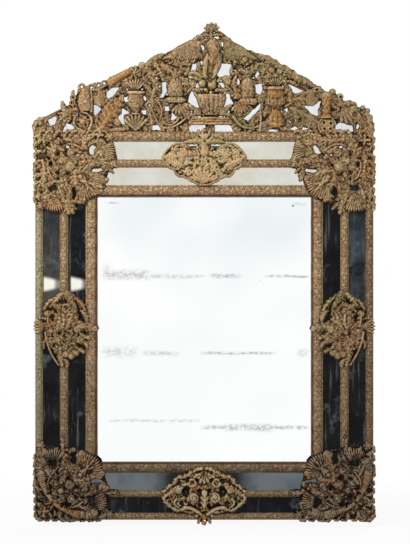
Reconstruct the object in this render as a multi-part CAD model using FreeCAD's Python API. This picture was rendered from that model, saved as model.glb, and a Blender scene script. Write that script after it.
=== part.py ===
import FreeCAD, Part
import math
import os

from FreeCAD import Vector

# Wall mirror in a pierced and embossed copper frame, millimetres.
# X runs to the right seen from the front, Z up, and the front faces -Y.
# The origin lies on the wall plane behind the centre of the middle plate.

# Sight size of the middle plate
sight_width = 603.0
sight_height = 747.0

# Widths of the embossed copper bands; "foot" is the bottom side of the frame
inner_band_width = 31.0
inner_band_foot_width = 28.0
mid_band_width = 23.5
mid_band_foot_width = 19.0
outer_band_width = 22.0
outer_band_foot_width = 20.0
crest_band_width = 29.0

# Visible widths of the two glass borders
inner_strip_width = 48.5
inner_strip_foot_width = 49.0
outer_strip_width = 47.0
outer_strip_top_width = 49.0
outer_strip_foot_width = 43.5

# Gabled crest board above the crest band
shoulder_height = 29.0
gable_height = 235.0
crest_margin = 12.0
crest_end_glass_width = 75.0
crest_axis = 16.0
crest_glass_gap = 5.0
crest_lap = 30.0

# Thicknesses from the wall outwards
back_board_thickness = 10.0
carcass_thickness = 16.0
plate_thickness = 4.0
border_glass_thickness = 3.0
copper_thickness = 0.8
band_rise = 8.5
mount_thickness = 1.0

# Joints and fits
rebate_width = 8.0
plate_clearance = 1.5
plate_play = 0.2
skin_fit = 0.2
seat_fit = 0.1
glass_overlap = 3.5
glass_gap = 0.5
glass_end_gap = 2.0
board_overlap = 37.0
board_gap = 0.8
pin_fit = 0.05

# Widths of the back boards from the bottom up; the top board takes the rest
board_widths = (139.1, 203.2, 217.2)

# Copper pins and iron nails
pin_radius = 1.2
pin_bite = 9.0
pin_head_radius = 2.8
pin_head_rise = 1.4
pin_spacing = 95.0
pin_seat_radius = 5.5
rake_pin_inset = 6.0
nail_radius = 1.5
nail_bite = 12.0
nail_head_radius = 4.0
nail_head_thickness = 1.2
nail_head_play = 0.1
nail_inset = 30.0
nail_edge_distance = 14.0

# Hangers on the backs of the stiles
hanger_offset = 405.0
hanger_height = 300.0
strap_width = 16.0
strap_length = 46.0
strap_thickness = 1.5
strap_nail_pitch = 24.0
ring_bar_radius = 2.5
ring_radius = 20.0
hinge_clearance = 0.05

# Overall sizes of the copper mounts
corner_reach = 231.0
side_cartouche_half_height = 106.0
side_cartouche_half_width = 86.0
long_cartouche_half_width = 117.0
wing_span = 132.0
middle_wing_inset = 18.5
lower_wing_inset = 50.0
mount_margin = 12.0

# Lugs for the pins: how far each lies inside the reach of its mount, from the lug's rim
outer_lug_inset = 14.0
mid_lug_inset = 3.0
upright_lug_inset = 1.0
top_lug_inset = 12.0
foot_lug_inset = 3.0
shoulder_pin_inset = 50.0
branch_pin_place = 310.0
basket_pin_heights = (8.0, 145.0)
tail_pin_height = 157.0
wing_seat_height = 12.0
wing_seat_inset = 34.0
wing_tip_gap = 9.0


def grow(frame, side, top, bottom):
    """A frame is (half width, top, bottom); this is the next frame outwards."""
    return frame[0] + side, frame[1] + top, frame[2] - bottom


sight = (sight_width / 2, sight_height / 2, -sight_height / 2)
inner_band_edge = grow(sight, inner_band_width, inner_band_width, inner_band_foot_width)
inner_strip_edge = grow(inner_band_edge, inner_strip_width, inner_strip_width, inner_strip_foot_width)
mid_band_edge = grow(inner_strip_edge, mid_band_width, mid_band_width, mid_band_foot_width)
outer_strip_edge = grow(mid_band_edge, outer_strip_width, outer_strip_top_width, outer_strip_foot_width)
outer_band_edge = grow(outer_strip_edge, outer_band_width, crest_band_width, outer_band_foot_width)

carcass_back = -back_board_thickness
carcass_front = carcass_back - carcass_thickness
lap_level = carcass_back - carcass_thickness / 2
plate_front = carcass_back - plate_play - plate_thickness
glass_front = carcass_front - border_glass_thickness
band_base = glass_front - seat_fit
band_crest = band_base - band_rise
mount_base = band_crest - skin_fit
crest_mount_base = glass_front - skin_fit

edge_allowance = copper_thickness + skin_fit
opening = grow(sight, edge_allowance, edge_allowance, edge_allowance)
rebate = grow(opening, rebate_width, rebate_width, rebate_width)
plate_frame = grow(rebate, -plate_clearance, -plate_clearance, -plate_clearance)
carcass_frame = grow(outer_band_edge, -edge_allowance, 0.0, -edge_allowance)
boards_frame = grow(opening, board_overlap, board_overlap, board_overlap)

crest_foot = outer_band_edge[1]
shoulder_top = crest_foot + shoulder_height
gable_top = shoulder_top + gable_height
rake_slope = gable_height / carcass_frame[0]

hollow_edge = 1.5 * mount_thickness
knuckle_radius = ring_bar_radius + hinge_clearance + strap_thickness
hinge_y = carcass_back + knuckle_radius


def slab(x0, x1, z0, z1, y_front, y_back):
    """Rectangular block between two X, two Z and two Y levels."""
    return Part.makeBox(x1 - x0, y_back - y_front, z1 - z0, Vector(x0, y_front, z0))


def prism(points, y_front, y_back):
    """Block over a polygon of (x, z) points."""
    corners = [Vector(x, y_front, z) for x, z in points]
    face = Part.Face(Part.makePolygon(corners + corners[:1]))
    return face.extrude(Vector(0, y_back - y_front, 0))


def rod(x, z, radius, y_front, y_back):
    """Round rod along Y."""
    return Part.makeCylinder(radius, y_back - y_front, Vector(x, y_front, z), Vector(0, 1, 0))


def drilled(shape, tools):
    """Cut the tools that reach a shape out of it."""
    near = [tool for tool in tools if tool.BoundBox.intersect(shape.BoundBox)]
    return shape.cut(near) if near else shape


# The four sides of a frame: outward direction and lengthwise direction
SIDES = {
    "left": (Vector(-1, 0, 0), Vector(0, 0, 1)),
    "right": (Vector(1, 0, 0), Vector(0, 0, 1)),
    "top": (Vector(0, 0, 1), Vector(1, 0, 0)),
    "bottom": (Vector(0, 0, -1), Vector(1, 0, 0)),
}


def reach(frame, side):
    """Distance of one side of a frame from the origin."""
    return {"left": frame[0], "right": frame[0], "top": frame[1], "bottom": -frame[2]}[side]


def corners_of(frame):
    half, top, bottom = frame
    return {"left": [(-half, bottom), (-half, top)], "right": [(half, bottom), (half, top)],
            "top": [(-half, top), (half, top)], "bottom": [(-half, bottom), (half, bottom)]}


class Band:
    """One side of an embossed band: its arched copper skin and the batten under it."""

    def __init__(self, side, inside, outside, inner_return=None, outer_return=None):
        self.side = side
        self.inside = inside
        self.outside = outside
        self.inner_return = inner_return
        self.outer_return = outer_return
        self.width = reach(outside, side) - reach(inside, side)
        self.radius = (self.width ** 2 / 4 + band_rise ** 2) / (2 * band_rise)
        self.arch_centre = band_crest + self.radius

    def at(self, across, y):
        outward = SIDES[self.side][0]
        return outward * (reach(self.inside, self.side) + across) + Vector(0, y, 0)

    def arch(self, across, radius):
        """Y of a concentric arch at a distance from the band's inner edge."""
        return self.arch_centre - math.sqrt(radius ** 2 - (across - self.width / 2) ** 2)

    def mitred(self, edges):
        """Extrude a closed section along the side and mitre both ends."""
        face = Part.Face(Part.Wire(edges))
        along = SIDES[self.side][1]
        length = 2 * sum(reach(self.outside, side) for side in SIDES)
        face.translate(along * (-length / 2))
        bar = face.extrude(along * length)
        near = corners_of(self.inside)[self.side]
        far = corners_of(self.outside)[self.side]
        outline = [near[0], near[1], far[1], far[0]]
        return bar.common(prism(outline, band_crest - band_rise, 0.0))

    def skin(self):
        inner_radius = self.radius - copper_thickness
        half_chord = math.sqrt(inner_radius ** 2 - (self.radius - band_rise) ** 2)
        middle = self.width / 2
        path = [self.at(middle - half_chord, band_base)]
        if self.inner_return is not None:
            path.append(self.at(copper_thickness, band_base))
            path.append(self.at(copper_thickness, self.inner_return))
            path.append(self.at(0.0, self.inner_return))
        path.append(self.at(0.0, band_base))
        edges = [Part.makeLine(a, b) for a, b in zip(path, path[1:])]
        edges.append(Part.Arc(self.at(0.0, band_base), self.at(middle, band_crest),
                              self.at(self.width, band_base)).toShape())
        path = [self.at(self.width, band_base)]
        if self.outer_return is not None:
            path.append(self.at(self.width, self.outer_return))
            path.append(self.at(self.width - copper_thickness, self.outer_return))
            path.append(self.at(self.width - copper_thickness, band_base))
        path.append(self.at(middle + half_chord, band_base))
        edges += [Part.makeLine(a, b) for a, b in zip(path, path[1:])]
        edges.append(Part.Arc(self.at(middle + half_chord, band_base),
                              self.at(middle, band_crest + copper_thickness),
                              self.at(middle - half_chord, band_base)).toShape())
        return self.mitred(edges)

    def batten(self):
        radius = self.radius - copper_thickness - skin_fit
        start = edge_allowance if self.inner_return is not None else glass_overlap + glass_gap
        end = self.width - (edge_allowance if self.outer_return is not None else glass_overlap + glass_gap)
        foot_start = self.at(start, carcass_front)
        foot_end = self.at(end, carcass_front)
        top_start = self.at(start, min(self.arch(start, radius), band_base))
        top_end = self.at(end, min(self.arch(end, radius), band_base))
        crown = self.at(self.width / 2, self.arch_centre - radius)
        edges = [Part.makeLine(foot_end, foot_start), Part.makeLine(foot_start, top_start),
                 Part.Arc(top_start, crown, top_end).toShape(), Part.makeLine(top_end, foot_end)]
        return self.mitred(edges)

    def centre(self):
        """Distance of the middle of the band from the origin."""
        return reach(self.inside, self.side) + self.width / 2


def make_bands():
    bands = {}
    sight_return = plate_front - skin_fit
    for side in SIDES:
        bands["inner_band_" + side] = Band(side, sight, inner_band_edge, inner_return=sight_return)
        bands["mid_band_" + side] = Band(side, inner_strip_edge, mid_band_edge)
    for side in ("left", "right", "bottom"):
        bands["outer_band_" + side] = Band(side, outer_strip_edge, outer_band_edge, outer_return=carcass_back)
    bands["crest_base_band"] = Band("top", outer_strip_edge, outer_band_edge)
    return bands


def gable(x, inset):
    """Height of the sloping top edge of the crest board, drawn in by an inset."""
    return gable_top - rake_slope * abs(x) - inset * math.hypot(1.0, rake_slope)


def make_glass():
    """Middle plate, the two glass borders and the crest glass."""
    glass = {}
    half, top, bottom = plate_frame
    glass["main_mirror_plate"] = slab(-half, half, bottom, top, plate_front, plate_front + plate_thickness)

    def pane(x0, x1, z0, z1):
        return slab(x0, x1, z0, z1, glass_front, carcass_front)

    margin = -glass_overlap
    rings = {"inner": (inner_band_edge, inner_strip_edge), "outer": (mid_band_edge, outer_strip_edge)}
    for ring, (inside, outside) in rings.items():
        in_half, in_top, in_bottom = grow(inside, margin, margin, margin)
        out_half, out_top, out_bottom = grow(outside, -margin, -margin, -margin)
        split = glass_gap / 2
        for side, x0, x1 in (("left", -out_half, -in_half), ("right", in_half, out_half)):
            glass["glass_%s_%s_upper" % (ring, side)] = pane(x0, x1, split, out_top)
            glass["glass_%s_%s_lower" % (ring, side)] = pane(x0, x1, out_bottom, -split)
        end = in_half - glass_end_gap
        for side, z0, z1 in (("top", in_top, out_top), ("bottom", out_bottom, in_bottom)):
            glass["glass_%s_%s_left" % (ring, side)] = pane(-end, -split, z0, z1)
            glass["glass_%s_%s_right" % (ring, side)] = pane(split, end, z0, z1)

    foot = crest_foot - glass_overlap
    side_x = carcass_frame[0] - crest_margin
    end_x = side_x - crest_end_glass_width
    for name, sign in (("left", -1), ("right", 1)):
        outline = [(sign * side_x, foot), (sign * side_x, gable(side_x, crest_margin)),
                   (sign * end_x, gable(end_x, crest_margin)), (sign * end_x, foot)]
        glass["crest_glass_%s_end" % name] = prism(outline, glass_front, carcass_front)
        far = sign * (end_x - glass_gap)
        near = crest_axis + sign * crest_glass_gap / 2
        outline = [(far, foot), (far, gable(far, crest_margin))]
        if near * sign < 0:
            outline.append((0.0, gable(0.0, crest_margin)))
        outline += [(near, gable(near, crest_margin)), (near, foot)]
        glass["crest_glass_" + name] = prism(outline, glass_front, carcass_front)
    return glass


def make_carcass():
    """Half-lapped pine frame and the gabled crest board lapped to its top rail."""
    half, top, bottom = carcass_frame
    lap_top = top - crest_lap
    in_half, in_top, in_bottom = opening
    hollow = slab(-rebate[0], rebate[0], rebate[2], rebate[1], carcass_back - plate_play - plate_thickness,
                  carcass_back)
    wood = {}
    for name, x0, x1 in (("stile_left", -half, -in_half), ("stile_right", in_half, half)):
        back = slab(x0, x1, bottom, lap_top, lap_level, carcass_back)
        front = slab(x0, x1, in_bottom, in_top, carcass_front, lap_level)
        wood[name] = back.fuse(front).removeSplitter().cut(hollow)
    for name, z0, z1 in (("rail_top", in_top, top), ("rail_bottom", bottom, in_bottom)):
        front = slab(-half, half, z0, z1, carcass_front, lap_level)
        back = slab(-in_half, in_half, z0, min(z1, lap_top), lap_level, carcass_back)
        wood[name] = front.fuse(back).removeSplitter().cut(hollow)
    upper = [(-half, top), (half, top), (half, shoulder_top), (0.0, gable_top), (-half, shoulder_top)]
    board = prism(upper, carcass_front, carcass_back)
    tongue = slab(-half, half, lap_top, top, lap_level, carcass_back)
    wood["crest_board"] = board.fuse(tongue).removeSplitter()
    return wood


def make_back_boards():
    half, top, low = boards_frame
    boards = {}
    for index, width in enumerate(board_widths + (top,), start=1):
        high = min(low + width, top)
        boards["back_board_%d" % index] = slab(-half, half, low, high, -back_board_thickness, 0.0)
        low = high + board_gap
    return boards


# Relief forms. Each is built on the plane y = 0 with its front towards -Y, as a pair:
# the outer body, and the hollow behind it that leaves a sheet of copper.

def dome(x, z, radius, rise):
    def cap(base_radius, height):
        ball = (base_radius ** 2 + height ** 2) / (2 * height)
        latitude = math.degrees(math.asin((ball - height) / ball))
        return Part.makeSphere(ball, Vector(x, ball - height, z), Vector(0, -1, 0), latitude, 90, 360)

    return [(cap(radius, rise), cap(radius - hollow_edge, rise - mount_thickness))]


def coil(x, z, radius, wire, start, sweep):
    """Rolled wire scroll round a centre, with a boss in the middle."""
    section = [Vector(x + radius - wire, 0, z), Vector(x + radius, -wire, z), Vector(x + radius + wire, 0, z)]
    wire_face = Part.Face(Part.Wire([Part.Arc(*section).toShape(), Part.makeLine(section[2], section[0])]))
    centre = Vector(x, 0, z)
    wire_face.rotate(centre, Vector(0, -1, 0), start)
    scroll = wire_face.revolve(centre, Vector(0, -1, 0), sweep)
    return [(scroll, None)] + dome(x, z, radius - wire * 0.5, wire * 1.5)


def solid_of(faces):
    polygons = [Part.Face(Part.makePolygon(list(face) + [face[0]])) for face in faces]
    solid = Part.Solid(Part.Shell(polygons))
    if solid.Volume < 0:
        solid.reverse()
    return solid


# Leaf stations: share of the length, of the half width and of the rise
LEAF = ((0.0, 0.45, 0.60), (0.35, 0.95, 1.0), (0.7, 0.75, 0.8))


def leaf(x0, z0, x1, z1, width, rise):
    """Pointed leaf with a raised midrib, from its foot to its tip."""
    length = math.hypot(x1 - x0, z1 - z0)
    along = Vector((x1 - x0) / length, 0, (z1 - z0) / length)
    across = Vector(-along.z, 0, along.x)
    foot = Vector(x0, 0, z0)

    def body(trim, drop):
        left, right, ridge = [], [], []
        for share, wide, high in LEAF:
            station = foot + along * (trim + share * (length - 3 * trim))
            half = max(width / 2 * wide - trim, 0.4)
            left.append(station + across * half)
            right.append(station - across * half)
            ridge.append(station + Vector(0, -max(rise * high - drop, 0.5), 0))
        tip = foot + along * (length - 2 * trim)
        faces = [left + [tip] + right[::-1], [left[0], ridge[0], right[0]]]
        for edge in (left, right):
            for i in range(len(LEAF) - 1):
                faces.append([edge[i], edge[i + 1], ridge[i]])
                faces.append([edge[i + 1], ridge[i + 1], ridge[i]])
            faces.append([edge[-1], tip, ridge[-1]])
        return solid_of(faces)

    return [(body(0.0, 0.0), body(hollow_edge, mount_thickness))]


def vase(x, z, profile, depth):
    """Turned form seen half round: (height, half width) stations, and its depth over half width."""
    steps = 6

    def body(trim):
        rings = []
        low = profile[0][0] + trim
        high = profile[-1][0] - trim
        for height, half in profile:
            ring = []
            for step in range(steps + 1):
                angle = math.pi * step / steps
                wide = half - trim
                ring.append(Vector(x + wide * math.cos(angle), -wide * depth * math.sin(angle),
                                   z + min(max(height, low), high)))
            rings.append(ring)
        faces = [rings[0], rings[-1], [ring[0] for ring in rings] + [ring[-1] for ring in rings[::-1]]]
        for lower, upper in zip(rings, rings[1:]):
            for i in range(steps):
                faces.append([lower[i], lower[i + 1], upper[i + 1], upper[i]])
        return solid_of(faces)

    return [(body(0.0), body(hollow_edge))]


def fan(x, z, radius, width, rise, angles):
    """Shell of leaves spread from one point."""
    leaves = []
    for angle in angles:
        turn = math.radians(angle)
        leaves += leaf(x, z, x + radius * math.cos(turn), z + radius * math.sin(turn), width, rise)
    return leaves


def rosette(x, z, radius, rise):
    return dome(x, z, radius, rise * 0.6) + dome(x, z, radius * 0.45, rise)


def web(points):
    """Flat sheet between the raised forms."""
    return [(prism(points, -mount_thickness, 0.0), None)]


def mirrored(forms, origin, normal):
    def flip(body):
        return None if body is None else body.mirror(origin, normal)

    return [(flip(outer), flip(hollow)) for outer, hollow in forms]


def hammered(forms, holes=()):
    """One sheet from all its raised forms, hollow behind, with its piercings."""
    sheet = forms[0][0].fuse([outer for outer, hollow in forms[1:]])
    hollows = [hollow for outer, hollow in forms if hollow is not None]
    tools = hollows + [rod(x, z, radius, -mount_thickness, 0.0) for x, z, radius in holes]
    sheet = sheet.cut(tools)
    bodies = sorted(sheet.Solids, key=lambda body: body.Volume)
    loose = sum(body.Volume for body in bodies[:-1])
    if loose > 1.0:
        print("loose pieces in a sheet, mm3:", round(loose, 1))
    return bodies[-1]


ORIGIN = Vector(0, 0, 0)
LEFT_RIGHT = Vector(1, 0, 0)
UP_DOWN = Vector(0, 0, 1)
DIAGONAL = Vector(1, 0, -1)


def corner_sheet():
    """Corner mount in the lower left corner, from its outer corner inwards."""
    edge = [(216.0, 0.0), (222.0, 34.0), (corner_reach, 74.0), (229.0, 98.0), (207.0, 110.0),
            (197.0, 138.0), (189.0, 166.0)]
    outline = [(0.0, 0.0)] + edge + [(v, u) for u, v in edge[::-1]]
    half = leaf(36, 24, 138, 22, 32, 12) + leaf(140, 27, 217, 14, 36, 10)
    half += leaf(172, 72, corner_reach + 1, 88, 36, 11) + leaf(134, 118, 197, 158, 38, 12)
    half += coil(150, 66, 21, 5.5, 200, 300)
    half += dome(100, 57, 14, 12) + dome(196, 47, 10, 9) + dome(127, 96, 11, 10)
    for u in range(16, 210, 24):
        half += dome(u, 4, 8.5, 6)
    forms = web(outline) + half + mirrored(half, ORIGIN, DIAGONAL)
    forms += leaf(12, 12, 84, 84, 46, 13) + rosette(104, 104, 31, 15) + leaf(126, 126, 187, 187, 42, 12)
    holes = [(120, 76, 7), (176, 112, 7), (68, 46, 5), (176, 44, 6)]
    return hammered(forms, holes + [(v, u, radius) for u, v, radius in holes])


def side_cartouche_sheet():
    """Upright oval cartouche about its own centre."""
    tall = side_cartouche_half_height
    wide = side_cartouche_half_width
    outline = []
    for step in range(24):
        angle = math.radians(15 * step)
        outline.append(((wide - 30) * math.cos(angle), (tall - 24) * math.sin(angle)))
    quarter = coil(31, 44, 17, 5, 120, 300) + leaf(14, 58, 40, 92, 26, 9) + dome(50, 22, 9, 8)
    quarter += leaf(42, 14, 66, 40, 20, 7)
    half = quarter + mirrored(quarter, ORIGIN, UP_DOWN) + leaf(38, 0, wide, 0, 36, 10)
    forms = web(outline) + half + mirrored(half, ORIGIN, LEFT_RIGHT)
    upright = leaf(0, 52, 0, tall, 42, 12) + dome(0, 42, 9, 10)
    forms += upright + mirrored(upright, ORIGIN, UP_DOWN) + rosette(0, 0, 29, 15)
    holes = [(sx * 14, sz * 34, 5) for sx in (-1, 1) for sz in (-1, 1)]
    return hammered(forms, holes)


def long_cartouche_sheet():
    """Lying cartouche about the middle of its two side tips, with its stem upwards."""
    wide = long_cartouche_half_width
    edge = [(58.0, 47.0), (80.0, 38.0), (102.0, 23.0), (wide, 3.0), (111.0, -9.0), (91.0, -25.0),
            (79.0, -37.0), (68.0, -48.0), (45.0, -57.0), (25.0, -70.0)]
    outline = [(0.0, 42.0)] + edge + [(0.0, -74.0)] + [(-u, v) for u, v in edge[::-1]]
    half = coil(62, 10, 19, 5, 20, 300) + coil(36, -28, 14, 4.5, 200, 300)
    half += leaf(80, 0, wide + 1, 2, 34, 10) + leaf(54, 34, 96, 24, 26, 9) + leaf(8, 42, 60, 44, 22, 9)
    half += leaf(58, -24, 80, -42, 24, 8) + dome(28, 4, 9, 9)
    half += fan(0, -24, 48, 20, 10, (-62, -36))
    forms = web(outline) + half + mirrored(half, ORIGIN, LEFT_RIGHT)
    forms += leaf(0, 34, 0, 86, 36, 11) + fan(0, -24, 51, 20, 11, (-90,)) + rosette(0, 4, 23, 15)
    holes = [(sx * u, v, radius) for sx in (-1, 1) for u, v, radius in ((84, 22, 4.5), (20, 28, 4))]
    return hammered(forms, holes)


def drawn_out(u, shift):
    """Distance from the crest axis in a half that is drawn out or in to its shoulder.

    The axis lies off the middle of the board, and shift is how far towards this half.
    """
    return u * (carcass_frame[0] - shift) / carcass_frame[0]


def crest_side_sheet(shift):
    """One half of the crest: u outwards from the crest axis, v above the crest band."""
    u_end = carcass_frame[0] - shift

    def out(u):
        return drawn_out(u, shift)

    def rake(u, inset):
        return gable(out(u) + shift, inset) - crest_foot

    forms = web([(out(60), 1.0), (u_end, 1.0), (u_end, 24.0), (out(60), 14.0)])
    forms += web([(u_end, shoulder_height - 24), (u_end, shoulder_height + 4),
                  (out(130), rake(130, 0)), (out(130), rake(150, 26))])
    forms += web([(out(326), 10.0), (out(352), 10.0), (out(350), 120.0), (out(328), 120.0)])
    forms += web([(out(184), 10.0), (out(208), 10.0), (out(208), 180.0), (out(184), 180.0)])
    forms += web([(out(88), 10.0), (out(108), 10.0), (out(138), 186.0), (out(124), 186.0)])
    # Shoulder scroll and the leaves beside it
    forms += coil(u_end - 20, 28, 19, 7, 300, 300) + leaf(out(416), 2, out(408), 58, 24, 12)
    forms += leaf(out(404), 46, out(396), 84, 18, 9)
    # Rose on a scroll, with a pear above it
    forms += coil(out(339), 37, 28, 7, 100, 300) + rosette(out(339), 37, 22, 18)
    pear = ((0, 8), (8, 17), (26, 21), (46, 15), (62, 8), (72, 4))
    forms += vase(out(339), 64, pear, 0.9)
    forms += coil(out(368), 88, 9, 3.5, 0, 300) + leaf(out(330), 112, out(372), 112, 20, 8)
    # Acanthus branches between the rose and the urn
    forms += leaf(out(304), 12, out(236), 94, 50, 14) + leaf(out(286), 15, out(224), 27, 26, 9)
    forms += leaf(out(268), 132, out(322), 118, 30, 11) + leaf(out(216), 160, out(272), 136, 34, 12)
    # Urn on a leaf foot, with flowers
    urn = ((0, 11), (6, 15), (14, 20), (30, 27), (48, 27), (58, 23), (66, 19), (72, 24), (80, 24))
    forms += vase(out(196), 60, urn, 0.8) + fan(out(196), 8, 50, 26, 11, (52, 78, 102, 128))
    forms += rosette(out(196), 172, 28, 18) + dome(out(222), 154, 14, 12) + dome(out(168), 158, 15, 13)
    forms += rosette(out(167), 185, 16, 13)
    # Scrolls and stems between the urn and the baluster
    forms += coil(out(150), 70, 14, 5, 30, 300) + leaf(out(164), 58, out(132), 8, 26, 10)
    forms += leaf(out(156), 88, out(134), 172, 24, 10)
    # Baluster with its flame, and the leaves under it
    baluster = ((0, 9), (6, 15), (20, 19), (40, 17), (56, 11), (61, 13), (65, 8), (72, 4))
    forms += vase(out(103), 94, baluster, 0.95)
    forms += leaf(out(118), 94, out(76), 56, 30, 12) + leaf(out(124), 11, out(76), 42, 36, 11)
    return hammered(forms)


def crest_basket_sheet():
    """Flower basket on its plinth, about the crest axis and above the crest band."""
    forms = web([(-66.0, 19.0), (66.0, 19.0), (54.0, 42.0), (-54.0, 42.0)])
    forms += web([(-12.0, 1.0), (12.0, 1.0), (12.0, 30.0), (-12.0, 30.0)])
    forms += web([(-20.0, 30.0), (20.0, 30.0), (20.0, 150.0), (-20.0, 150.0)])
    plinth = ((0, 62), (7, 65), (14, 56), (22, 54))
    forms += vase(0, 18, plinth, 0.22)
    basket = ((0, 27), (5, 31), (24, 38), (30, 42), (36, 41))
    forms += vase(0, 46, basket, 0.5)
    half = rosette(20, 92, 15, 15) + dome(38, 88, 10, 11) + dome(15, 133, 13, 13)
    half += leaf(20, 112, 54, 124, 26, 10) + leaf(24, 142, 56, 150, 22, 9) + leaf(48, 40, 34, 4, 16, 8)
    half += leaf(20, 128, 52, 104, 20, 8)
    forms += half + mirrored(half, ORIGIN, LEFT_RIGHT)
    forms += rosette(0, 106, 15, 17) + leaf(0, 30, 0, 14, 20, 8)
    return hammered(forms)


def crest_eagle_sheet():
    """Spread eagle under a flower finial, about the crest axis and above the crest band."""
    body = ((0, 10), (12, 20), (34, 27), (58, 25), (80, 18), (92, 13), (104, 14), (112, 8))
    forms = vase(0, 160, body, 0.75) + web([(-9.0, 240.0), (9.0, 240.0), (7.0, 300.0), (-7.0, 300.0)])
    half = leaf(14, 236, wing_span, 206, 52, 13) + leaf(20, 224, wing_span - middle_wing_inset, 174, 44, 11)
    half += leaf(18, 206, wing_span - lower_wing_inset, 160, 34, 10)
    half += coil(34, 256, 12, 4, 250, 290) + leaf(10, 262, 48, 240, 18, 8) + leaf(44, 252, 84, 232, 22, 9)
    half += leaf(6, 278, 34, 276, 14, 7)
    forms += half + mirrored(half, ORIGIN, LEFT_RIGHT)
    forms += rosette(0, 288, 18, 14) + fan(0, 284, 21, 11, 7, (30, 60, 90, 120, 150))
    return hammered(forms)


class Pin:
    """Round-headed copper pin driven straight back from a seat."""

    def __init__(self, x, z, seat):
        self.x = x
        self.z = z
        self.seat = seat

    def body(self):
        ball = (pin_head_radius ** 2 + pin_head_rise ** 2) / (2 * pin_head_rise)
        latitude = math.degrees(math.asin((ball - pin_head_rise) / ball))
        centre = Vector(self.x, self.seat - pin_head_rise + ball, self.z)
        head = Part.makeSphere(ball, centre, Vector(0, -1, 0), latitude, 90, 360)
        return head.fuse(rod(self.x, self.z, pin_radius, self.seat, self.point()))

    def point(self):
        return self.seat + pin_bite

    def hole(self):
        return rod(self.x, self.z, pin_radius + pin_fit, self.seat - band_rise, self.point() + pin_fit)


def spaced(start, end):
    """Evenly spaced places along a free stretch."""
    count = max(1, round((end - start) / pin_spacing))
    step = (end - start) / count
    return [start + step * (i + 0.5) for i in range(count)]


def band_pins(bands):
    """Pins along the bands, on the stretches that no mount covers."""
    half, top, bottom = outer_band_edge
    clear = corner_reach + mount_margin
    upright = spaced(bottom + clear, -side_cartouche_half_height - mount_margin)
    upright += spaced(side_cartouche_half_height + mount_margin, top - clear)
    level = spaced(long_cartouche_half_width + mount_margin, half - clear)
    level += [-x for x in level]
    seat = band_crest - seat_fit / 2
    pins = []
    for band in bands.values():
        outward = SIDES[band.side][0]
        if outward.x:
            pins += [Pin(outward.x * band.centre(), z, seat) for z in upright]
        else:
            pins += [Pin(x, outward.z * band.centre(), seat) for x in level]
    return pins


def corner_pins(bands, height):
    """Pins of a left corner mount: one lug over each outer and middle band that it crosses."""
    half, top, bottom = outer_band_edge
    rim = corner_reach + pin_seat_radius
    lug = mount_base - mount_thickness
    if height == "lower":
        end, inwards, level = bottom, 1, ("outer_band_bottom", "mid_band_bottom")
    else:
        end, inwards, level = top, -1, ("crest_base_band", "mid_band_top")
    pins = []
    insets = (outer_lug_inset, mid_lug_inset)
    for upright, lying, inset in zip(("outer_band_left", "mid_band_left"), level, insets):
        pins.append(Pin(-bands[upright].centre(), end + inwards * (rim - inset), lug))
        pins.append(Pin(-half + rim - inset, -inwards * bands[lying].centre(), lug))
    return pins


def on_rake(x, seat):
    """Pin beside the crest glass, near the sloping edge of the board."""
    return Pin(x, gable(x, rake_pin_inset), seat)


def pinned(sheet, base, pins):
    """Give a mount a seat and a hole for every pin."""
    seats = [rod(pin.x, pin.z, pin_seat_radius, pin.seat, base) for pin in pins]
    sheet = sheet.fuse(seats).cut([pin.hole() for pin in pins])
    if len(sheet.Solids) != 1:
        print("a mount came apart into", len(sheet.Solids))
    return sheet


def flipped(pins):
    return [Pin(-pin.x, pin.z, pin.seat) for pin in pins]


def make_corners(bands):
    """Four corner mounts from one design, each pinned to its own bands."""
    half, top, bottom = outer_band_edge
    lower = corner_sheet().translated(Vector(-half, mount_base, bottom))
    upper = lower.mirror(Vector(0, 0, (top + bottom) / 2), UP_DOWN)
    mounts = {}
    pins = []
    for height, sheet in (("lower", lower), ("upper", upper)):
        places = corner_pins(bands, height)
        sheet = pinned(sheet, mount_base, places)
        mounts["corner_mount_%s_left" % height] = sheet
        mounts["corner_mount_%s_right" % height] = sheet.mirror(ORIGIN, LEFT_RIGHT)
        pins += places + flipped(places)
    return mounts, pins


def make_cartouches(bands):
    """Two upright and two lying cartouches over the middle bands."""
    lug = mount_base - mount_thickness
    x = bands["mid_band_right"].centre()
    tip = side_cartouche_half_height + pin_seat_radius - upright_lug_inset
    places = [Pin(x, tip, lug), Pin(x, -tip, lug)]
    sheet = pinned(side_cartouche_sheet().translated(Vector(x, mount_base, 0)), mount_base, places)
    mounts = {"cartouche_right": sheet, "cartouche_left": sheet.mirror(ORIGIN, LEFT_RIGHT)}
    pins = places + flipped(places)

    lying = long_cartouche_sheet()
    rim = long_cartouche_half_width + pin_seat_radius
    top_level = bands["mid_band_top"].centre()
    foot_level = -bands["mid_band_bottom"].centre()
    upper = lying.translated(Vector(0, mount_base, mid_band_edge[1]))
    lower = lying.mirror(ORIGIN, UP_DOWN).translated(Vector(0, mount_base, foot_level))
    for name, sheet, level, inset in (("cartouche_top", upper, top_level, top_lug_inset),
                                      ("cartouche_bottom", lower, foot_level, foot_lug_inset)):
        places = [Pin(rim - inset, level, lug), Pin(inset - rim, level, lug)]
        mounts[name] = pinned(sheet, mount_base, places)
        pins += places
    return mounts, pins


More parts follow.
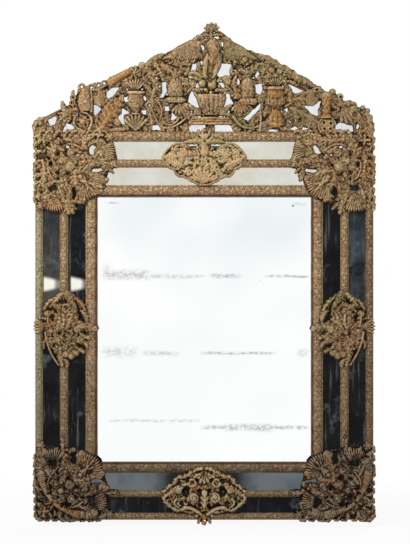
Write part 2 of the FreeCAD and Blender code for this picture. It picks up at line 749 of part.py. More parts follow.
def make_crest():
    """Crest sheets, pinned into the board beside its glass and through the joint of the glass."""
    seat = Vector(crest_axis, crest_mount_base, crest_foot)
    sheet = crest_mount_base - mount_thickness
    wing = crest_mount_base - wing_seat_height
    sides = {"crest_left": -1, "crest_right": 1}
    places = {}
    for name, sx in sides.items():
        branch = drawn_out(branch_pin_place, sx * crest_axis)
        places[name] = [on_rake(sx * (carcass_frame[0] - shoulder_pin_inset), sheet),
                        on_rake(crest_axis + sx * branch, sheet),
                        on_rake(crest_axis + sx * (wing_span + wing_tip_gap), sheet)]
    places["crest_basket"] = [Pin(crest_axis, crest_foot + height, sheet) for height in basket_pin_heights]
    places["crest_eagle"] = [Pin(crest_axis, crest_foot + tail_pin_height, sheet)]
    on_wing = wing_span - wing_seat_inset
    places["crest_eagle"] += [on_rake(crest_axis + sx * on_wing, wing) for sx in sides.values()]
    sheets = {"crest_right": crest_side_sheet(crest_axis),
              "crest_left": crest_side_sheet(-crest_axis).mirror(ORIGIN, LEFT_RIGHT),
              "crest_basket": crest_basket_sheet(), "crest_eagle": crest_eagle_sheet()}
    mounts = {}
    for name, shape in sheets.items():
        mounts[name] = pinned(shape.translated(seat), crest_mount_base, places[name])
    return mounts, [pin for group in places.values() for pin in group]


def nail_places(boards):
    """Where the iron nails go: two at each end of every back board, and two in each hanger strap."""
    x = boards_frame[0] - nail_edge_distance
    places = []
    for board in boards.values():
        box = board.BoundBox
        for z in (box.ZMin + nail_inset, box.ZMax - nail_inset):
            places += [(-x, z, 0.0), (x, z, 0.0)]
    strap_face = carcass_back + strap_thickness + nail_head_thickness
    middle = hanger_height + (strap_length + knuckle_radius) / 2
    for hanger_x in (-hanger_offset, hanger_offset):
        for z in (middle - strap_nail_pitch / 2, middle + strap_nail_pitch / 2):
            places.append((hanger_x, z, strap_face))
    return places


def nail(x, z, face):
    head = rod(x, z, nail_head_radius, face - nail_head_thickness, face)
    return head.fuse(rod(x, z, nail_radius, carcass_back - nail_bite, face - nail_head_thickness))


def nail_hole(x, z, face):
    play = nail_head_play
    head = rod(x, z, nail_head_radius + play, face - nail_head_thickness - play, face + play)
    return head.fuse(rod(x, z, nail_radius + pin_fit, carcass_back - nail_bite - pin_fit, face))


def hanger_strap(x):
    """Iron strap rolled into a knuckle at its lower end."""
    start = Vector(x - strap_width / 2, hinge_y, hanger_height)
    knuckle = Part.makeCylinder(knuckle_radius, strap_width, start, Vector(1, 0, 0))
    half = strap_width / 2
    plate = slab(x - half, x + half, hanger_height, hanger_height + strap_length, carcass_back,
                 carcass_back + strap_thickness)
    bore = Part.makeCylinder(ring_bar_radius + hinge_clearance, strap_width, start, Vector(1, 0, 0))
    return knuckle.fuse(plate).cut(bore)


def hanger_ring(x):
    """D-shaped ring hanging from its straight bar."""
    centre = Vector(x, hinge_y, hanger_height)
    end = Vector(x - ring_radius, hinge_y, hanger_height)
    bar = Part.makeCylinder(ring_bar_radius, 2 * ring_radius, end, Vector(1, 0, 0))
    section = Part.Face(Part.Wire(Part.makeCircle(ring_bar_radius, end, Vector(0, 0, 1))))
    bow = section.revolve(centre, Vector(0, -1, 0), 180)
    knobs = [Part.makeSphere(ring_bar_radius, centre + Vector(side * ring_radius, 0, 0)) for side in (-1, 1)]
    return bar.fuse([bow] + knobs)


def main():
    os.makedirs("parts", exist_ok=True)
    bands = make_bands()
    corners, corner_places = make_corners(bands)
    cartouches, cartouche_places = make_cartouches(bands)
    crest, crest_places = make_crest()
    pins = band_pins(bands) + corner_places + cartouche_places + crest_places
    pin_holes = [pin.hole() for pin in pins]
    skins = {name: drilled(band.skin(), pin_holes) for name, band in bands.items()}
    battens = [drilled(band.batten(), pin_holes) for band in bands.values()]

    wood = make_carcass()
    wood["crest_board"] = drilled(wood["crest_board"], pin_holes)
    boards = make_back_boards()
    nails = nail_places(boards)
    nail_holes = [nail_hole(*place) for place in nails]
    wood = {name: drilled(shape, nail_holes) for name, shape in wood.items()}
    boards = {name: drilled(shape, nail_holes) for name, shape in boards.items()}
    hangers = {"left": -hanger_offset, "right": hanger_offset}
    straps = [drilled(hanger_strap(x), nail_holes) for x in hangers.values()]

    groups = {"band_battens": battens, "copper_pins": [pin.body() for pin in pins],
              "iron_nails": [nail(*place) for place in nails], "hanger_straps": straps}
    nodes = {name: Part.makeCompound(solids) for name, solids in groups.items()}
    for side, x in hangers.items():
        nodes["hanger_ring_" + side] = hanger_ring(x)
    for group in (skins, make_glass(), wood, boards, corners, cartouches, crest):
        nodes.update(group)
    for name, shape in nodes.items():
        shape.exportStep("parts/" + name + ".step")


main()
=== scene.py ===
"""Looks of a wall mirror in an embossed copper frame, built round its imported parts."""

import math

import bpy
import numpy as np
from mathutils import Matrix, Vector


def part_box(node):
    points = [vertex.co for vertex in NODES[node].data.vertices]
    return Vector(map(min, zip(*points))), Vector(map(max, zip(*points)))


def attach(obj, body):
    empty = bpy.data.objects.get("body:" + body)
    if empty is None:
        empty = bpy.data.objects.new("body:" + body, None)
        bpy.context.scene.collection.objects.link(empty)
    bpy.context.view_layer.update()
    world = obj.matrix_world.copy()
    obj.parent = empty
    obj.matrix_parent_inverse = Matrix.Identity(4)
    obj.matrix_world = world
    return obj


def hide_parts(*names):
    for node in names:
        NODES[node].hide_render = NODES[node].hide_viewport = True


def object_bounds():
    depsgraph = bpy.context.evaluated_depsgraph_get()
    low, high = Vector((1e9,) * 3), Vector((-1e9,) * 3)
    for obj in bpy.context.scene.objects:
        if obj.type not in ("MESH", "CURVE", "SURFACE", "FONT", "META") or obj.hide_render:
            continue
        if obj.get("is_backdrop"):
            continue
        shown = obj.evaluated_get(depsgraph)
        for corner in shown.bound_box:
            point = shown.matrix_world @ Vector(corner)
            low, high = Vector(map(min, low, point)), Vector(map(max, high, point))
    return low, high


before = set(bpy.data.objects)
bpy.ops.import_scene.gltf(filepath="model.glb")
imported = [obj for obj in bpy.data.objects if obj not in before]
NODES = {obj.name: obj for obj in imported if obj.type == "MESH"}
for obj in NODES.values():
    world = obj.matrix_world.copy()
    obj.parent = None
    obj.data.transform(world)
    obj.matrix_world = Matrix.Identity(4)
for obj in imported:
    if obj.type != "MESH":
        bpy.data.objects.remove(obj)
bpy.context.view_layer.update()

# Lengths of the relief are in millimetres; meshes are written in metres.
MM = 0.001
ROOT = "frame"

# Spacing of the mesh points of the embossed sheets and of the bands
SHEET_GRID = 1.25
BAND_GRID = 1.6
SHEET_THICKNESS = 0.9
# Edges bent further than this stay sharp
SHARP_ANGLE = math.radians(58)

# Room round the grid of a sheet and round each form on it, and a distance that stands for far away
GRID_MARGIN = 6.0
FORM_MARGIN = 5.0
FAR = 99.0

# Height of the foot of most forms above the flat sheet
LIFT = 1.0
# Spread of the warmth of the copper from one form to the next
WARMTH_SPREAD = 0.34
# Widths of fine and coarse tool marks, of small curls, and of worn spots with painted glints on a sheet
FINE_MARKS = 1.6
COARSE_MARKS = 3.0
CURLS = 6.0
WORN_SPOTS_AND_GLINTS = 1.3
# Width of the painted shadow along the edges of the sheets
EDGE_SHADE = 3.2
# Share of oxide and painted shade in the hollows of the mounts where both are fainter
FAINT_SOIL_AND_SHADE = 0.75

# Copper pins: height of a head, and distance within which mesh points belong to the same pin
PIN_HEAD = 1.4
PIN_SPREAD = 6.5
# Seat of a pin: radius that stays smooth, radius of its lug, and reach and slope of its shoulder
PIN_CLEAR = 4.6
LUG_RADIUS = 5.5
LUG_REACH = 9.0
LUG_SLOPE = 1.6
# A pin holds a sheet if its seat is this high above the sheet's back and this near to its copper
SEAT_RISE = 0.5
SEAT_NEAR = 7.0
# Least brightness of the sheet round a pin, from 0 for a pit to 1
SEAT_SHADE = 0.46

# Bands: height of their embossing, and gap between their edges and the glass
BAND_RELIEF = 1.5
BAND_GAP = 0.1
# Widths of the curls and tool marks of the bands
BAND_CURLS = 3.6
BAND_MARKS = 1.3
# Plain strip beside the middle plate: its share of the band's width, the share over which the embossing
# starts, and its brightness, kept low as a painted shadow beside the plate
STRIP_SHARE = 0.09
STRIP_FADE = 0.05
STRIP_PAINTED_SHADOW = 0.29

# Edges of the mounts are turned down towards the glass
TURNED_WIDTH = 7.0
TURNED_DEPTH = 5.5
BAND_TOUCH = 0.4

# Seeds of the corner mounts, side cartouches and lying cartouches
CORNER_SEED = 40
SIDE_SEED = 50
LONG_SEED = 60
# Height of the stem of a lying cartouche above the middle of its side tips
LONG_STEM = 86.0

# Bevel of the border glass
BEVEL_WIDTH = 9.0
BEVEL_DEPTH = 0.9

# Photo frame: size of a pixel on the object, the middle of the picture on the object, and the lens
PIXEL = 2.8 * MM
PICTURE_HEIGHT = 544
VIEW_X = 0.002
VIEW_Z = 0.161
FRONT_Y = -0.03
LENS = 100.0
SENSOR = 36.0

# Studio: strength of the light from all round, and the place that the lamps are turned to
AMBIENT = 0.42
LAMP_AIM = (0.0, 0.0, 0.1)
WHITE = (1.0, 1.0, 1.0, 1.0)


def box_mm(node):
    """Lowest and highest corner of a node in millimetres."""
    return tuple(np.array(corner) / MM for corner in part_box(node))


def pin_places():
    """Middle of every copper pin and the level of its seat, as (x, seat, z) in millimetres."""
    mesh = NODES["copper_pins"].data
    left = np.array([vertex.co for vertex in mesh.vertices]) / MM
    places = []
    while len(left):
        near = np.hypot(*(left - left[0])[:, ::2].T) < PIN_SPREAD
        x, _, z = 0.5 * (left[near].min(0) + left[near].max(0))
        places.append((x, left[near][:, 1].min() + PIN_HEAD, z))
        left = left[~near]
    return places


PINS = pin_places()


# Height fields

def blurred(field, radius):
    """Gaussian blur of a grid; radius in grid steps."""
    pad = int(3 * radius) + 1
    wide = np.pad(field, pad, mode="edge")
    rows = np.fft.fftfreq(wide.shape[0])[:, None]
    columns = np.fft.rfftfreq(wide.shape[1])[None, :]
    keep = np.exp(-2 * (math.pi * radius) ** 2 * (rows ** 2 + columns ** 2))
    soft = np.fft.irfft2(np.fft.rfft2(wide) * keep, s=wide.shape)
    return soft[pad:-pad, pad:-pad]


def speckle(rng, shape, radius):
    """Smooth random field with a spread of one."""
    field = blurred(rng.standard_normal(shape), radius)
    return field / field.std()


def bow(points, count=48):
    """Points along a curve from the first point to the last, drawn towards the middle one."""
    start, pull, end = (np.array(point, float) for point in points)
    t = np.linspace(0.0, 1.0, count)[:, None]
    return (1 - t) ** 2 * start + 2 * t * (1 - t) * pull + t ** 2 * end


def across_diagonal(point):
    """Mirror image of a point across the diagonal of a corner."""
    return point[1], point[0]


def across_axis(point):
    """Mirror image of a point across the upright axis."""
    return -point[0], point[1]


def half_round(share):
    """Height of a half circle at a share of its half width."""
    return np.sqrt(np.clip(1.0 - share ** 2, 0.0, 1.0))


class Relief:
    """An embossed sheet as a grid of heights, in millimetres, in its own u and v directions.

    cover is roughly the distance inside the nearest edge of the copper, below zero where there is none.
    grain is the share of tool marks on a form, and warmth its tone, below zero where it is cooler.
    Every form takes a list of its main points first.
    """

    def __init__(self, low, high, seed, mirror=None, soil_and_shade=1.0):
        self.u = np.arange(low[0] - GRID_MARGIN, high[0] + GRID_MARGIN, SHEET_GRID)
        self.v = np.arange(low[1] - GRID_MARGIN, high[1] + GRID_MARGIN, SHEET_GRID)
        shape = (len(self.u), len(self.v))
        self.cover = np.full(shape, -FAR)
        self.height = np.zeros(shape)
        self.grain = np.ones(shape)
        self.warmth = np.zeros(shape)
        self.rng = np.random.default_rng(seed)
        self.mirror = mirror
        self.soil_and_shade = soil_and_shade
        self.hand = 1

    def pair(self, form, points, *sizes, **more):
        """Press a form and its mirror image."""
        form(points, *sizes, **more)
        self.hand = -1
        form([self.mirror(point) for point in points], *sizes, **more)
        self.hand = 1

    def window(self, low, high, reach):
        """Index ranges of the grid round a box, with the grid's u and v there."""
        rows = slice(*np.searchsorted(self.u, (low[0] - reach, high[0] + reach)))
        columns = slice(*np.searchsorted(self.v, (low[1] - reach, high[1] + reach)))
        return (rows, columns), self.u[rows, None], self.v[None, columns]

    def press(self, where, cover, height, grain, warmth=0.0):
        """Raise the sheet to a form's height wherever the form covers it, in a shade of its own."""
        standing = self.height[where]
        wins = (cover > 0) & (height > standing)
        standing[wins] = height[wins]
        np.copyto(self.grain[where], grain, where=wins)
        warmth = warmth + WARMTH_SPREAD * self.rng.standard_normal()
        np.copyto(self.warmth[where], warmth, where=wins)
        np.maximum(self.cover[where], cover, out=self.cover[where])

    def around(self, point, reach):
        """Window round a point, with polar coordinates there."""
        where, u, v = self.window(point, point, reach + FORM_MARGIN)
        du, dv = u - point[0] + 0.0 * v, v - point[1] + 0.0 * u
        return where, np.hypot(du, dv), np.arctan2(dv, du)

    def beside(self, points, reach):
        """Window along a curve, with the share along it and the signed distance from it."""
        spine = bow(points)
        where, u, v = self.window(spine.min(0), spine.max(0), reach + FORM_MARGIN)
        du = u[..., None] - spine[:, 0]
        dv = v[..., None] - spine[:, 1]
        distance = du ** 2 + dv ** 2
        nearest = distance.argmin(2)
        tangent = np.gradient(spine, axis=0)[nearest]
        du = u - spine[nearest, 0]
        dv = v - spine[nearest, 1]
        left = np.where(tangent[..., 0] * dv > tangent[..., 1] * du, 1.0, -1.0)
        return where, nearest / (len(spine) - 1), left * np.sqrt(distance.min(2))

    def plate(self, outline, level=0.3):
        """Flat ground inside a polygon."""
        where, cover = self.inside_of(outline)
        self.press(where, cover, level + np.zeros_like(cover), grain=1.0)

    def leaf(self, points, width, rise, lobes=5, lift=1.2, grain=0.9):
        """Acanthus leaf from its foot to its tip, with a rib and swept lobes; without lobes it is fluted."""
        where, share, side = self.beside(points, width / 2)
        off = np.abs(side)
        half = width / 2 * 1.62 * (share + 0.12) ** 0.45 * np.clip(1.0 - share, 0.0, 1.0) ** 0.5
        half = np.maximum(half, 0.05)
        if lobes:
            sweep = np.cos(2 * math.pi * (lobes * share - 0.8 * off / half))
            edge = half * (0.89 + 0.11 * sweep)
            veins = 0.17 * sweep * off / half
        else:
            edge = half * (0.95 + 0.05 * np.cos(12.0 * math.pi * share))
            veins = 0.14 * np.cos(5.0 * math.pi * off / half)
        across = np.clip(off / edge, 0.0, 1.0)
        rib = np.exp(-(off / (0.09 * width)) ** 2) * (1.0 - share)
        body = half_round(across) ** 1.1
        self.press(where, edge - off, lift + rise * (0.70 * body + veins * body + 0.25 * rib), grain)

    def stem(self, points, width, rise, taper=0.5, rings=0, warmth=0.0):
        """Rolled stem that narrows towards its end; with rings it is a ribbed horn."""
        where, share, side = self.beside(points, width / 2)
        half = width / 2 * (1.0 - (1.0 - taper) * share)
        off = np.abs(side)
        body = half_round(off / half) * (1.0 - 0.13 * np.sin(math.pi * rings * share) ** 2)
        self.press(where, half - off, LIFT + rise * body, grain=0.7, warmth=warmth)

    def boss(self, points, radius, rise, lift=LIFT, grain=0.75):
        """Smooth round boss, such as a berry or a fruit."""
        for point in points:
            where, out, _ = self.around(point, radius)
            self.press(where, radius - out, lift + rise * half_round(out / radius), grain)

    def ring(self, points, radius, wire, rise):
        """Raised ring round a hollow."""
        for point in points:
            where, out, _ = self.around(point, radius + wire)
            off = np.abs(out - radius)
            self.press(where, wire - off, LIFT + rise * half_round(off / wire), grain=0.6)

    def scroll(self, points, radius, rise, turns=2.0, start=0.0, lift=1.2):
        """Rolled volute whose coils rise towards its eye."""
        for point in points:
            where, out, angle = self.around(point, radius)
            turn = ((self.hand * angle - math.radians(start)) / (2 * math.pi)) % 1.0
            edge = radius * (1.0 - 0.17 * turn)
            coil = (out * (turns + 0.4) / radius + turn) % 1.0
            roll = half_round(2 * coil - 1.0)
            height = lift + rise * (0.44 * roll + 0.56 * np.clip(1.0 - (out / radius) ** 2, 0.0, 1.0))
            self.press(where, edge - out, height, grain=0.7, warmth=-0.2)
            self.boss([point], radius * 0.24, rise * 0.5, lift=lift + rise * 0.55)

    def rosette(self, points, radius, rise, petals=6, turn=0.0, lift=LIFT):
        """Flower with two rings of petals and a button."""
        for point in points:
            where, out, angle = self.around(point, radius)
            for size, high, phase in ((1.0, 0.62, 0.0), (0.62, 0.85, 0.5)):
                petal = np.abs(np.cos(petals / 2 * angle - math.pi * (turn + phase) / 2))
                edge = radius * size * (0.70 + 0.30 * petal ** 0.6)
                body = half_round(np.clip(out / edge, 0.0, 1.0)) * (0.45 + 0.55 * petal)
                self.press(where, edge - out, lift + rise * high * body, grain=0.7)
            self.boss([point], radius * 0.22, rise * 0.45, lift=lift + rise * 0.55)

    def shell(self, points, rise, spread, ribs, groove=0.26):
        """Ribbed shell from its hinge to its tip, spread to both sides by an angle in degrees."""
        hinge, tip = points
        radius = math.hypot(tip[0] - hinge[0], tip[1] - hinge[1])
        heading = math.atan2(tip[1] - hinge[1], tip[0] - hinge[0])
        where, out, angle = self.around(hinge, radius)
        off = np.angle(np.exp(1j * (angle - heading)))
        open_half = math.radians(spread)
        rib = np.abs(np.cos(ribs * math.pi * off / (2 * open_half)))
        edge = radius * (0.86 + 0.14 * rib)
        cover = np.minimum(edge - out, (open_half - np.abs(off)) * out)
        swell = np.clip(out / radius, 0.05, 1.0) ** 0.6 * half_round(np.clip(out / edge, 0.0, 1.0) ** 3)
        height = LIFT + rise * swell * (1.0 - groove + groove * rib)
        self.press(where, cover, height, grain=0.75, warmth=0.2)

    def vase(self, points, profile, depth, flutes=0, collars=()):
        """Turned form from (height, half width) stations, with flutes and raised collars."""
        steps, halves = np.array(profile, float).T
        for point in points:
            low = (point[0] - halves.max(), point[1] + steps[0])
            high = (point[0] + halves.max(), point[1] + steps[-1])
            where, u, v = self.window(low, high, FORM_MARGIN)
            up = v - point[1] + 0.0 * u
            half = np.interp(up, steps, halves)
            off = np.clip(np.abs(u - point[0]) / half, 0.0, 1.0)
            cover = np.minimum(half - np.abs(u - point[0]), np.minimum(up - steps[0], steps[-1] - up))
            round_height = depth * half * half_round(off)
            if flutes:
                round_height = round_height * (0.88 + 0.14 * np.abs(np.cos(flutes * np.arcsin(off))))
            for collar in collars:
                round_height = round_height + 2.4 * np.exp(-((up - collar) / 1.8) ** 2) * half_round(off)
            self.press(where, cover, LIFT + round_height, grain=0.9, warmth=0.5)

    def pad(self, outline, rise, soft):
        """Cushion inside a polygon, rounded towards its outline."""
        where, inside = self.inside_of(outline)
        swell = 1.0 - np.exp(-np.clip(inside, 0.0, None) / soft)
        self.press(where, inside, LIFT + rise * swell, grain=0.8, warmth=0.1)

    def dent(self, points, radius, depth):
        """Punch round hollows into the sheet."""
        for point in points:
            where, out, _ = self.around(point, 2 * radius)
            self.height[where] -= depth * np.exp(-(out / radius) ** 4)

    def score(self, points, width, depth):
        """Chase a groove along a curve."""
        where, share, side = self.beside(points, 3 * width)
        ends = np.clip(8.0 * np.minimum(share, 1.0 - share), 0.0, 1.0)
        self.height[where] -= depth * ends * np.exp(-(side / width) ** 2)

    def beads(self, points, count, radius, rise):
        """String of beads along a curve."""
        self.boss(list(bow(points, count)), radius, rise)

    def foliage(self, count, sizes, rises):
        """Small leaves, curls and buds crowded over the ground."""
        # Shares of leaves, of leaves and curls, and of these and buds; the rest are flowers
        leaves, curls, buds = 0.58, 0.86, 0.93
        rng = self.rng
        ground = np.argwhere(self.cover > sizes[0] * 0.45)
        middle = np.array((self.u.mean(), self.v.mean()))
        for row, column in ground[rng.integers(0, len(ground), count)]:
            point = np.array((self.u[row], self.v[column]))
            size = rng.uniform(*sizes)
            rise = rng.uniform(*rises)
            out = point - middle
            heading = math.atan2(out[1], out[0]) + rng.normal(0.0, 0.9)
            tip = size * np.array((math.cos(heading), math.sin(heading)))
            bend = 0.35 * rng.choice((-1.0, 1.0)) * np.array((-tip[1], tip[0]))
            kind = rng.random()
            if kind < leaves:
                width = size * rng.uniform(0.55, 0.85)
                spine = [point - tip / 2, point + bend, point + tip / 2]
                self.leaf(spine, width, rise, lobes=3, lift=0.6)
                self.boss([point + 0.42 * tip], 0.15 * size, 0.6 * rise, lift=0.4 * rise)
            elif kind < curls:
                self.scroll([point], size * 0.45, rise, turns=1.2, start=rng.uniform(0, 360), lift=0.6)
            elif kind < buds:
                self.boss([point], size * 0.26, rise, lift=0.8)
            else:
                self.rosette([point], size * 0.5, rise, petals=5, turn=rng.random(), lift=0.6)

    def inside_of(self, outline):
        """Window round a polygon, with the distance inside its outline."""
        corners = np.array(outline, float)
        where, u, v = self.window(corners.min(0), corners.max(0), GRID_MARGIN)
        inside = np.zeros((u + v).shape, bool)
        distance = np.full(inside.shape, FAR)
        for (u0, v0), (u1, v1) in zip(corners, np.roll(corners, -1, axis=0)):
            du, dv = u1 - u0, v1 - v0
            share = np.clip(((u - u0) * du + (v - v0) * dv) / (du * du + dv * dv), 0.0, 1.0)
            distance = np.minimum(distance, np.hypot(u - u0 - share * du, v - v0 - share * dv))
            if dv:
                inside ^= ((v0 > v) != (v1 > v)) & (u < du * (v - v0) / dv + u0)
        return where, np.where(inside, distance, -distance)

    def cut(self, outline, wander=1.6):
        """Cut an opening with a slightly ragged edge through the sheet."""
        where, inside = self.inside_of(outline)
        ragged = wander * speckle(self.rng, inside.shape, 4.0 / SHEET_GRID)
        np.minimum(self.cover[where], 0.8 + ragged - inside, out=self.cover[where])

    def pierce(self, points, radius):
        """Cut round holes through the sheet."""
        for point in points:
            where, out, angle = self.around(point, radius + 3.0)
            oval = 0.18 * np.cos(2 * angle + 5.0 * point[0])
            edge = radius * (1.0 + oval + 0.10 * np.cos(3 * angle + point[1]))
            np.minimum(self.cover[where], out - edge, out=self.cover[where])

    def yield_to(self, over, hand):
        """Cut the sheet back from under another about the same origin; hand is -1 if their u run apart."""
        rows = np.rint((hand * self.u - over.u[0]) / SHEET_GRID).astype(int)
        columns = np.rint((self.v - over.v[0]) / SHEET_GRID).astype(int)
        near_rows = np.flatnonzero((rows >= 0) & (rows < len(over.u)))
        near_columns = np.flatnonzero((columns >= 0) & (columns < len(over.v)))
        where = np.ix_(near_rows, near_columns)
        taken = over.cover[np.ix_(rows[near_rows], columns[near_columns])]
        self.cover[where] = np.minimum(self.cover[where], np.where(taken > 3.5, -FAR, -0.1 - taken))

    def lug(self, point, level):
        """Flat seat round a pin at a level."""
        where, out, _ = self.around(point, LUG_REACH)
        np.maximum(self.cover[where], LUG_RADIUS - out, out=self.cover[where])
        slope = LUG_SLOPE * np.clip(out - PIN_CLEAR, 0.0, None)
        np.clip(self.height[where], level - slope, level + slope, out=self.height[where])
        self.grain[where][out < PIN_CLEAR] = 0.0

    def chase(self, seats):
        """Roughen the sheet with small tool marks, seat its pins, and note how sunken and how dark every
        point is.
        """
        shape = self.height.shape
        fine_marks = speckle(self.rng, shape, FINE_MARKS / SHEET_GRID)
        coarse_marks = speckle(self.rng, shape, COARSE_MARKS / SHEET_GRID)
        marks = 0.60 * fine_marks + 0.35 * coarse_marks
        curls = np.cos(2.6 * math.pi * speckle(self.rng, shape, CURLS / SHEET_GRID))
        leafy = np.clip((self.grain - 0.6) / 0.3, 0.0, 1.0)
        self.height = np.maximum(self.height + self.grain * marks + 0.45 * leafy * curls, 0.0)
        for point, level in seats:
            self.lug(point, level)
        # Darker in the hollows and lighter on the heights: oxide and painted shade in the hollows, wear on
        # the heights
        fine = self.height - blurred(self.height, 3.0 / SHEET_GRID)
        broad = self.height - blurred(self.height, 8.0 / SHEET_GRID)
        # Painted shadow along the edges of the copper
        edge = np.clip(self.cover / EDGE_SHADE, 0.0, 1.0)
        shade = 0.53 + 0.5 * self.soil_and_shade * np.tanh(0.42 * fine + 0.10 * broad)
        # Darker where the sheet lies low between its forms: oxide and painted shade
        pits = 1.0 - 0.6 * self.soil_and_shade * np.exp(-self.height / 1.4)
        # Worn spots and painted glints
        worn = 0.055 * self.grain * speckle(self.rng, shape, WORN_SPOTS_AND_GLINTS / SHEET_GRID)
        self.cavity = (shade + worn) * pits * (0.62 + 0.38 * edge)
        for point, _ in seats:
            where, out, _ = self.around(point, LUG_REACH)
            rubbed = SEAT_SHADE * np.clip(2.4 - out / PIN_CLEAR, 0.0, 1.0)
            np.maximum(self.cavity[where], rubbed, out=self.cavity[where])


def without_pinches(cells):
    """Fill cells that would leave two others touching at a corner only."""
    while True:
        a, b, c, d = cells[:-1, :-1], cells[1:, :-1], cells[:-1, 1:], cells[1:, 1:]
        rising = a & d & ~b & ~c
        falling = b & c & ~a & ~d
        if not (rising.any() or falling.any()):
            return cells
        cells[1:, :-1] |= rising
        cells[:-1, :-1] |= falling


def largest_island(cells):
    """Keep only the largest connected group of cells."""
    label = np.where(cells, np.arange(1, cells.size + 1).reshape(cells.shape), 0)
    while True:
        grown = np.pad(label, 1)
        beside = [grown[:-2, 1:-1], grown[2:, 1:-1], grown[1:-1, :-2], grown[1:-1, 2:]]
        around = np.where(cells, np.maximum.reduce(beside + [label]), 0)
        if (around == label).all():
            break
        label = around
    values, counts = np.unique(label[label > 0], return_counts=True)
    return label == values[counts.argmax()]


def new_object(name, data):
    """New object of the scene."""
    made = bpy.data.objects.new(name, data)
    bpy.context.scene.collection.objects.link(made)
    return made


def quads_object(name, points, quads, **marks):
    """Mesh object from points in millimetres and four-sided faces, with its marks at every point."""
    mesh = bpy.data.meshes.new(name)
    mesh.vertices.add(len(points))
    mesh.vertices.foreach_set("co", (points * MM).astype(np.float32).ravel())
    mesh.loops.add(quads.size)
    mesh.loops.foreach_set("vertex_index", quads.astype(np.int32).ravel())
    mesh.polygons.add(len(quads))
    mesh.polygons.foreach_set("loop_start", np.arange(0, quads.size, 4, dtype=np.int32))
    mesh.update(calc_edges=True)
    mesh.validate()
    mesh.shade_smooth()
    mesh.set_sharp_from_angle(angle=SHARP_ANGLE)
    for mark, values in marks.items():
        mesh.attributes.new(mark, "FLOAT", "POINT").data.foreach_set("value", values.astype(np.float32))
    return new_object(name, mesh)


def band_heights(x, z):
    """Height of the bands above the border glass, in millimetres."""
    height = np.zeros(np.broadcast(x, z).shape)
    places = {0: x, 2: z}
    for name in BAND_NODES:
        low, high = box_mm(name)
        upright = name.endswith(("left", "right"))
        across, along = (0, 2) if upright else (2, 0)
        share = (places[across] - low[across]) / (high[across] - low[across]) * 2.0 - 1.0
        on_band = (places[along] > low[along]) & (places[along] < high[along])
        height = np.maximum(height, BAND_RISE * np.clip(1.0 - share ** 2, 0.0, None) * on_band)
    return height


def pin_seats(relief, base, origin, signs):
    """Places in a relief of the pins that hold it, each with the level of its seat."""
    seats = []
    for x, seat, z in PINS:
        place = ((x - origin[0]) * signs[0], (z - origin[1]) * signs[1])
        row = np.searchsorted(relief.u, place[0])
        column = np.searchsorted(relief.v, place[1])
        inside_grid = 0 < row < len(relief.u) and 0 < column < len(relief.v)
        if inside_grid and seat < base - SEAT_RISE and relief.cover[row, column] > -SEAT_NEAR:
            seats.append((place, base - seat - SHEET_THICKNESS))
    return seats


def sheet_quads(cells, used):
    """Faces of a closed sheet over cells of a grid: its front, its back and its rims."""
    number = np.cumsum(used).reshape(used.shape) - 1
    count = int(used.sum())
    i, j = np.nonzero(cells)
    corners = [number[i, j], number[i + 1, j], number[i + 1, j + 1], number[i, j + 1]]
    faces = [np.stack(corners, 1), np.stack(corners[::-1], 1) + count]
    framed = np.pad(cells, 1)
    for step, a, b in (((0, -1), 0, 1), ((1, 0), 1, 2), ((0, 1), 2, 3), ((-1, 0), 3, 0)):
        rim = ~framed[i + 1 + step[0], j + 1 + step[1]]
        start, end = corners[a][rim], corners[b][rim]
        faces.append(np.stack((end, start, start + count, end + count), 1))
    return np.concatenate(faces)


def sheet_piece(relief, node, origin, signs, turned=True):
    """Closed sheet of copper from a relief, in place of its node."""
    base = box_mm(node)[1][1]
    relief.chase(pin_seats(relief, base, origin, signs))
    cover = relief.cover
    inside = cover > 0
    cells = inside[:-1, :-1] | inside[1:, :-1] | inside[:-1, 1:] | inside[1:, 1:]
    cells = largest_island(without_pinches(cells))
    # Points just outside the copper are pulled onto its edge
    du, dv = np.gradient(cover, SHEET_GRID)
    slope = np.maximum(du ** 2 + dv ** 2, 0.25)
    pull = np.where(inside, 0.0, np.clip(-cover, 0.0, 1.3 * SHEET_GRID)) / slope
    x = origin[0] + signs[0] * (relief.u[:, None] + du * pull)
    z = origin[1] + signs[1] * (relief.v[None, :] + dv * pull)
    back = np.full(x.shape, base)
    if turned:
        near = np.clip(1.0 - np.clip(cover, 0.0, None) / TURNED_WIDTH, 0.0, 1.0)
        lowered = back + TURNED_DEPTH * near ** 2 * (3.0 - 2.0 * near)
        back = np.minimum(lowered, GLASS_FRONT - band_heights(x, z) - BAND_TOUCH)
    front = back - relief.height - SHEET_THICKNESS

    used = np.zeros(cover.shape, bool)
    for rows in (slice(0, -1), slice(1, None)):
        for columns in (slice(0, -1), slice(1, None)):
            used[rows, columns] |= cells
    quads = sheet_quads(cells, used)
    if signs[0] * signs[1] < 0:
        quads = quads[:, ::-1]
    outer = np.stack((x[used], front[used], z[used]), 1)
    inner = np.stack((x[used], back[used], z[used]), 1)
    piece = quads_object("embossed_" + node, np.concatenate((outer, inner)), quads,
                         cavity=np.tile(relief.cavity[used], 2), warmth=np.tile(relief.warmth[used], 2))
    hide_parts(node)
    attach(piece, ROOT)
    return piece


# Bands

SIDES = ("left", "right", "top", "bottom")
RINGS = {ring: {side: "%s_band_%s" % (ring, side) for side in SIDES} for ring in ("inner", "mid", "outer")}
RINGS["outer"]["top"] = "crest_base_band"
BAND_NODES = [node for ring in RINGS.values() for node in ring.values()]
GLASS_FRONT = box_mm("glass_inner_left_upper")[0][1]
BAND_RISE = GLASS_FRONT - box_mm("mid_band_left")[0][1]
CREST_AXIS = 0.5 * (box_mm("crest_glass_left")[1][0] + box_mm("crest_glass_right")[0][0])


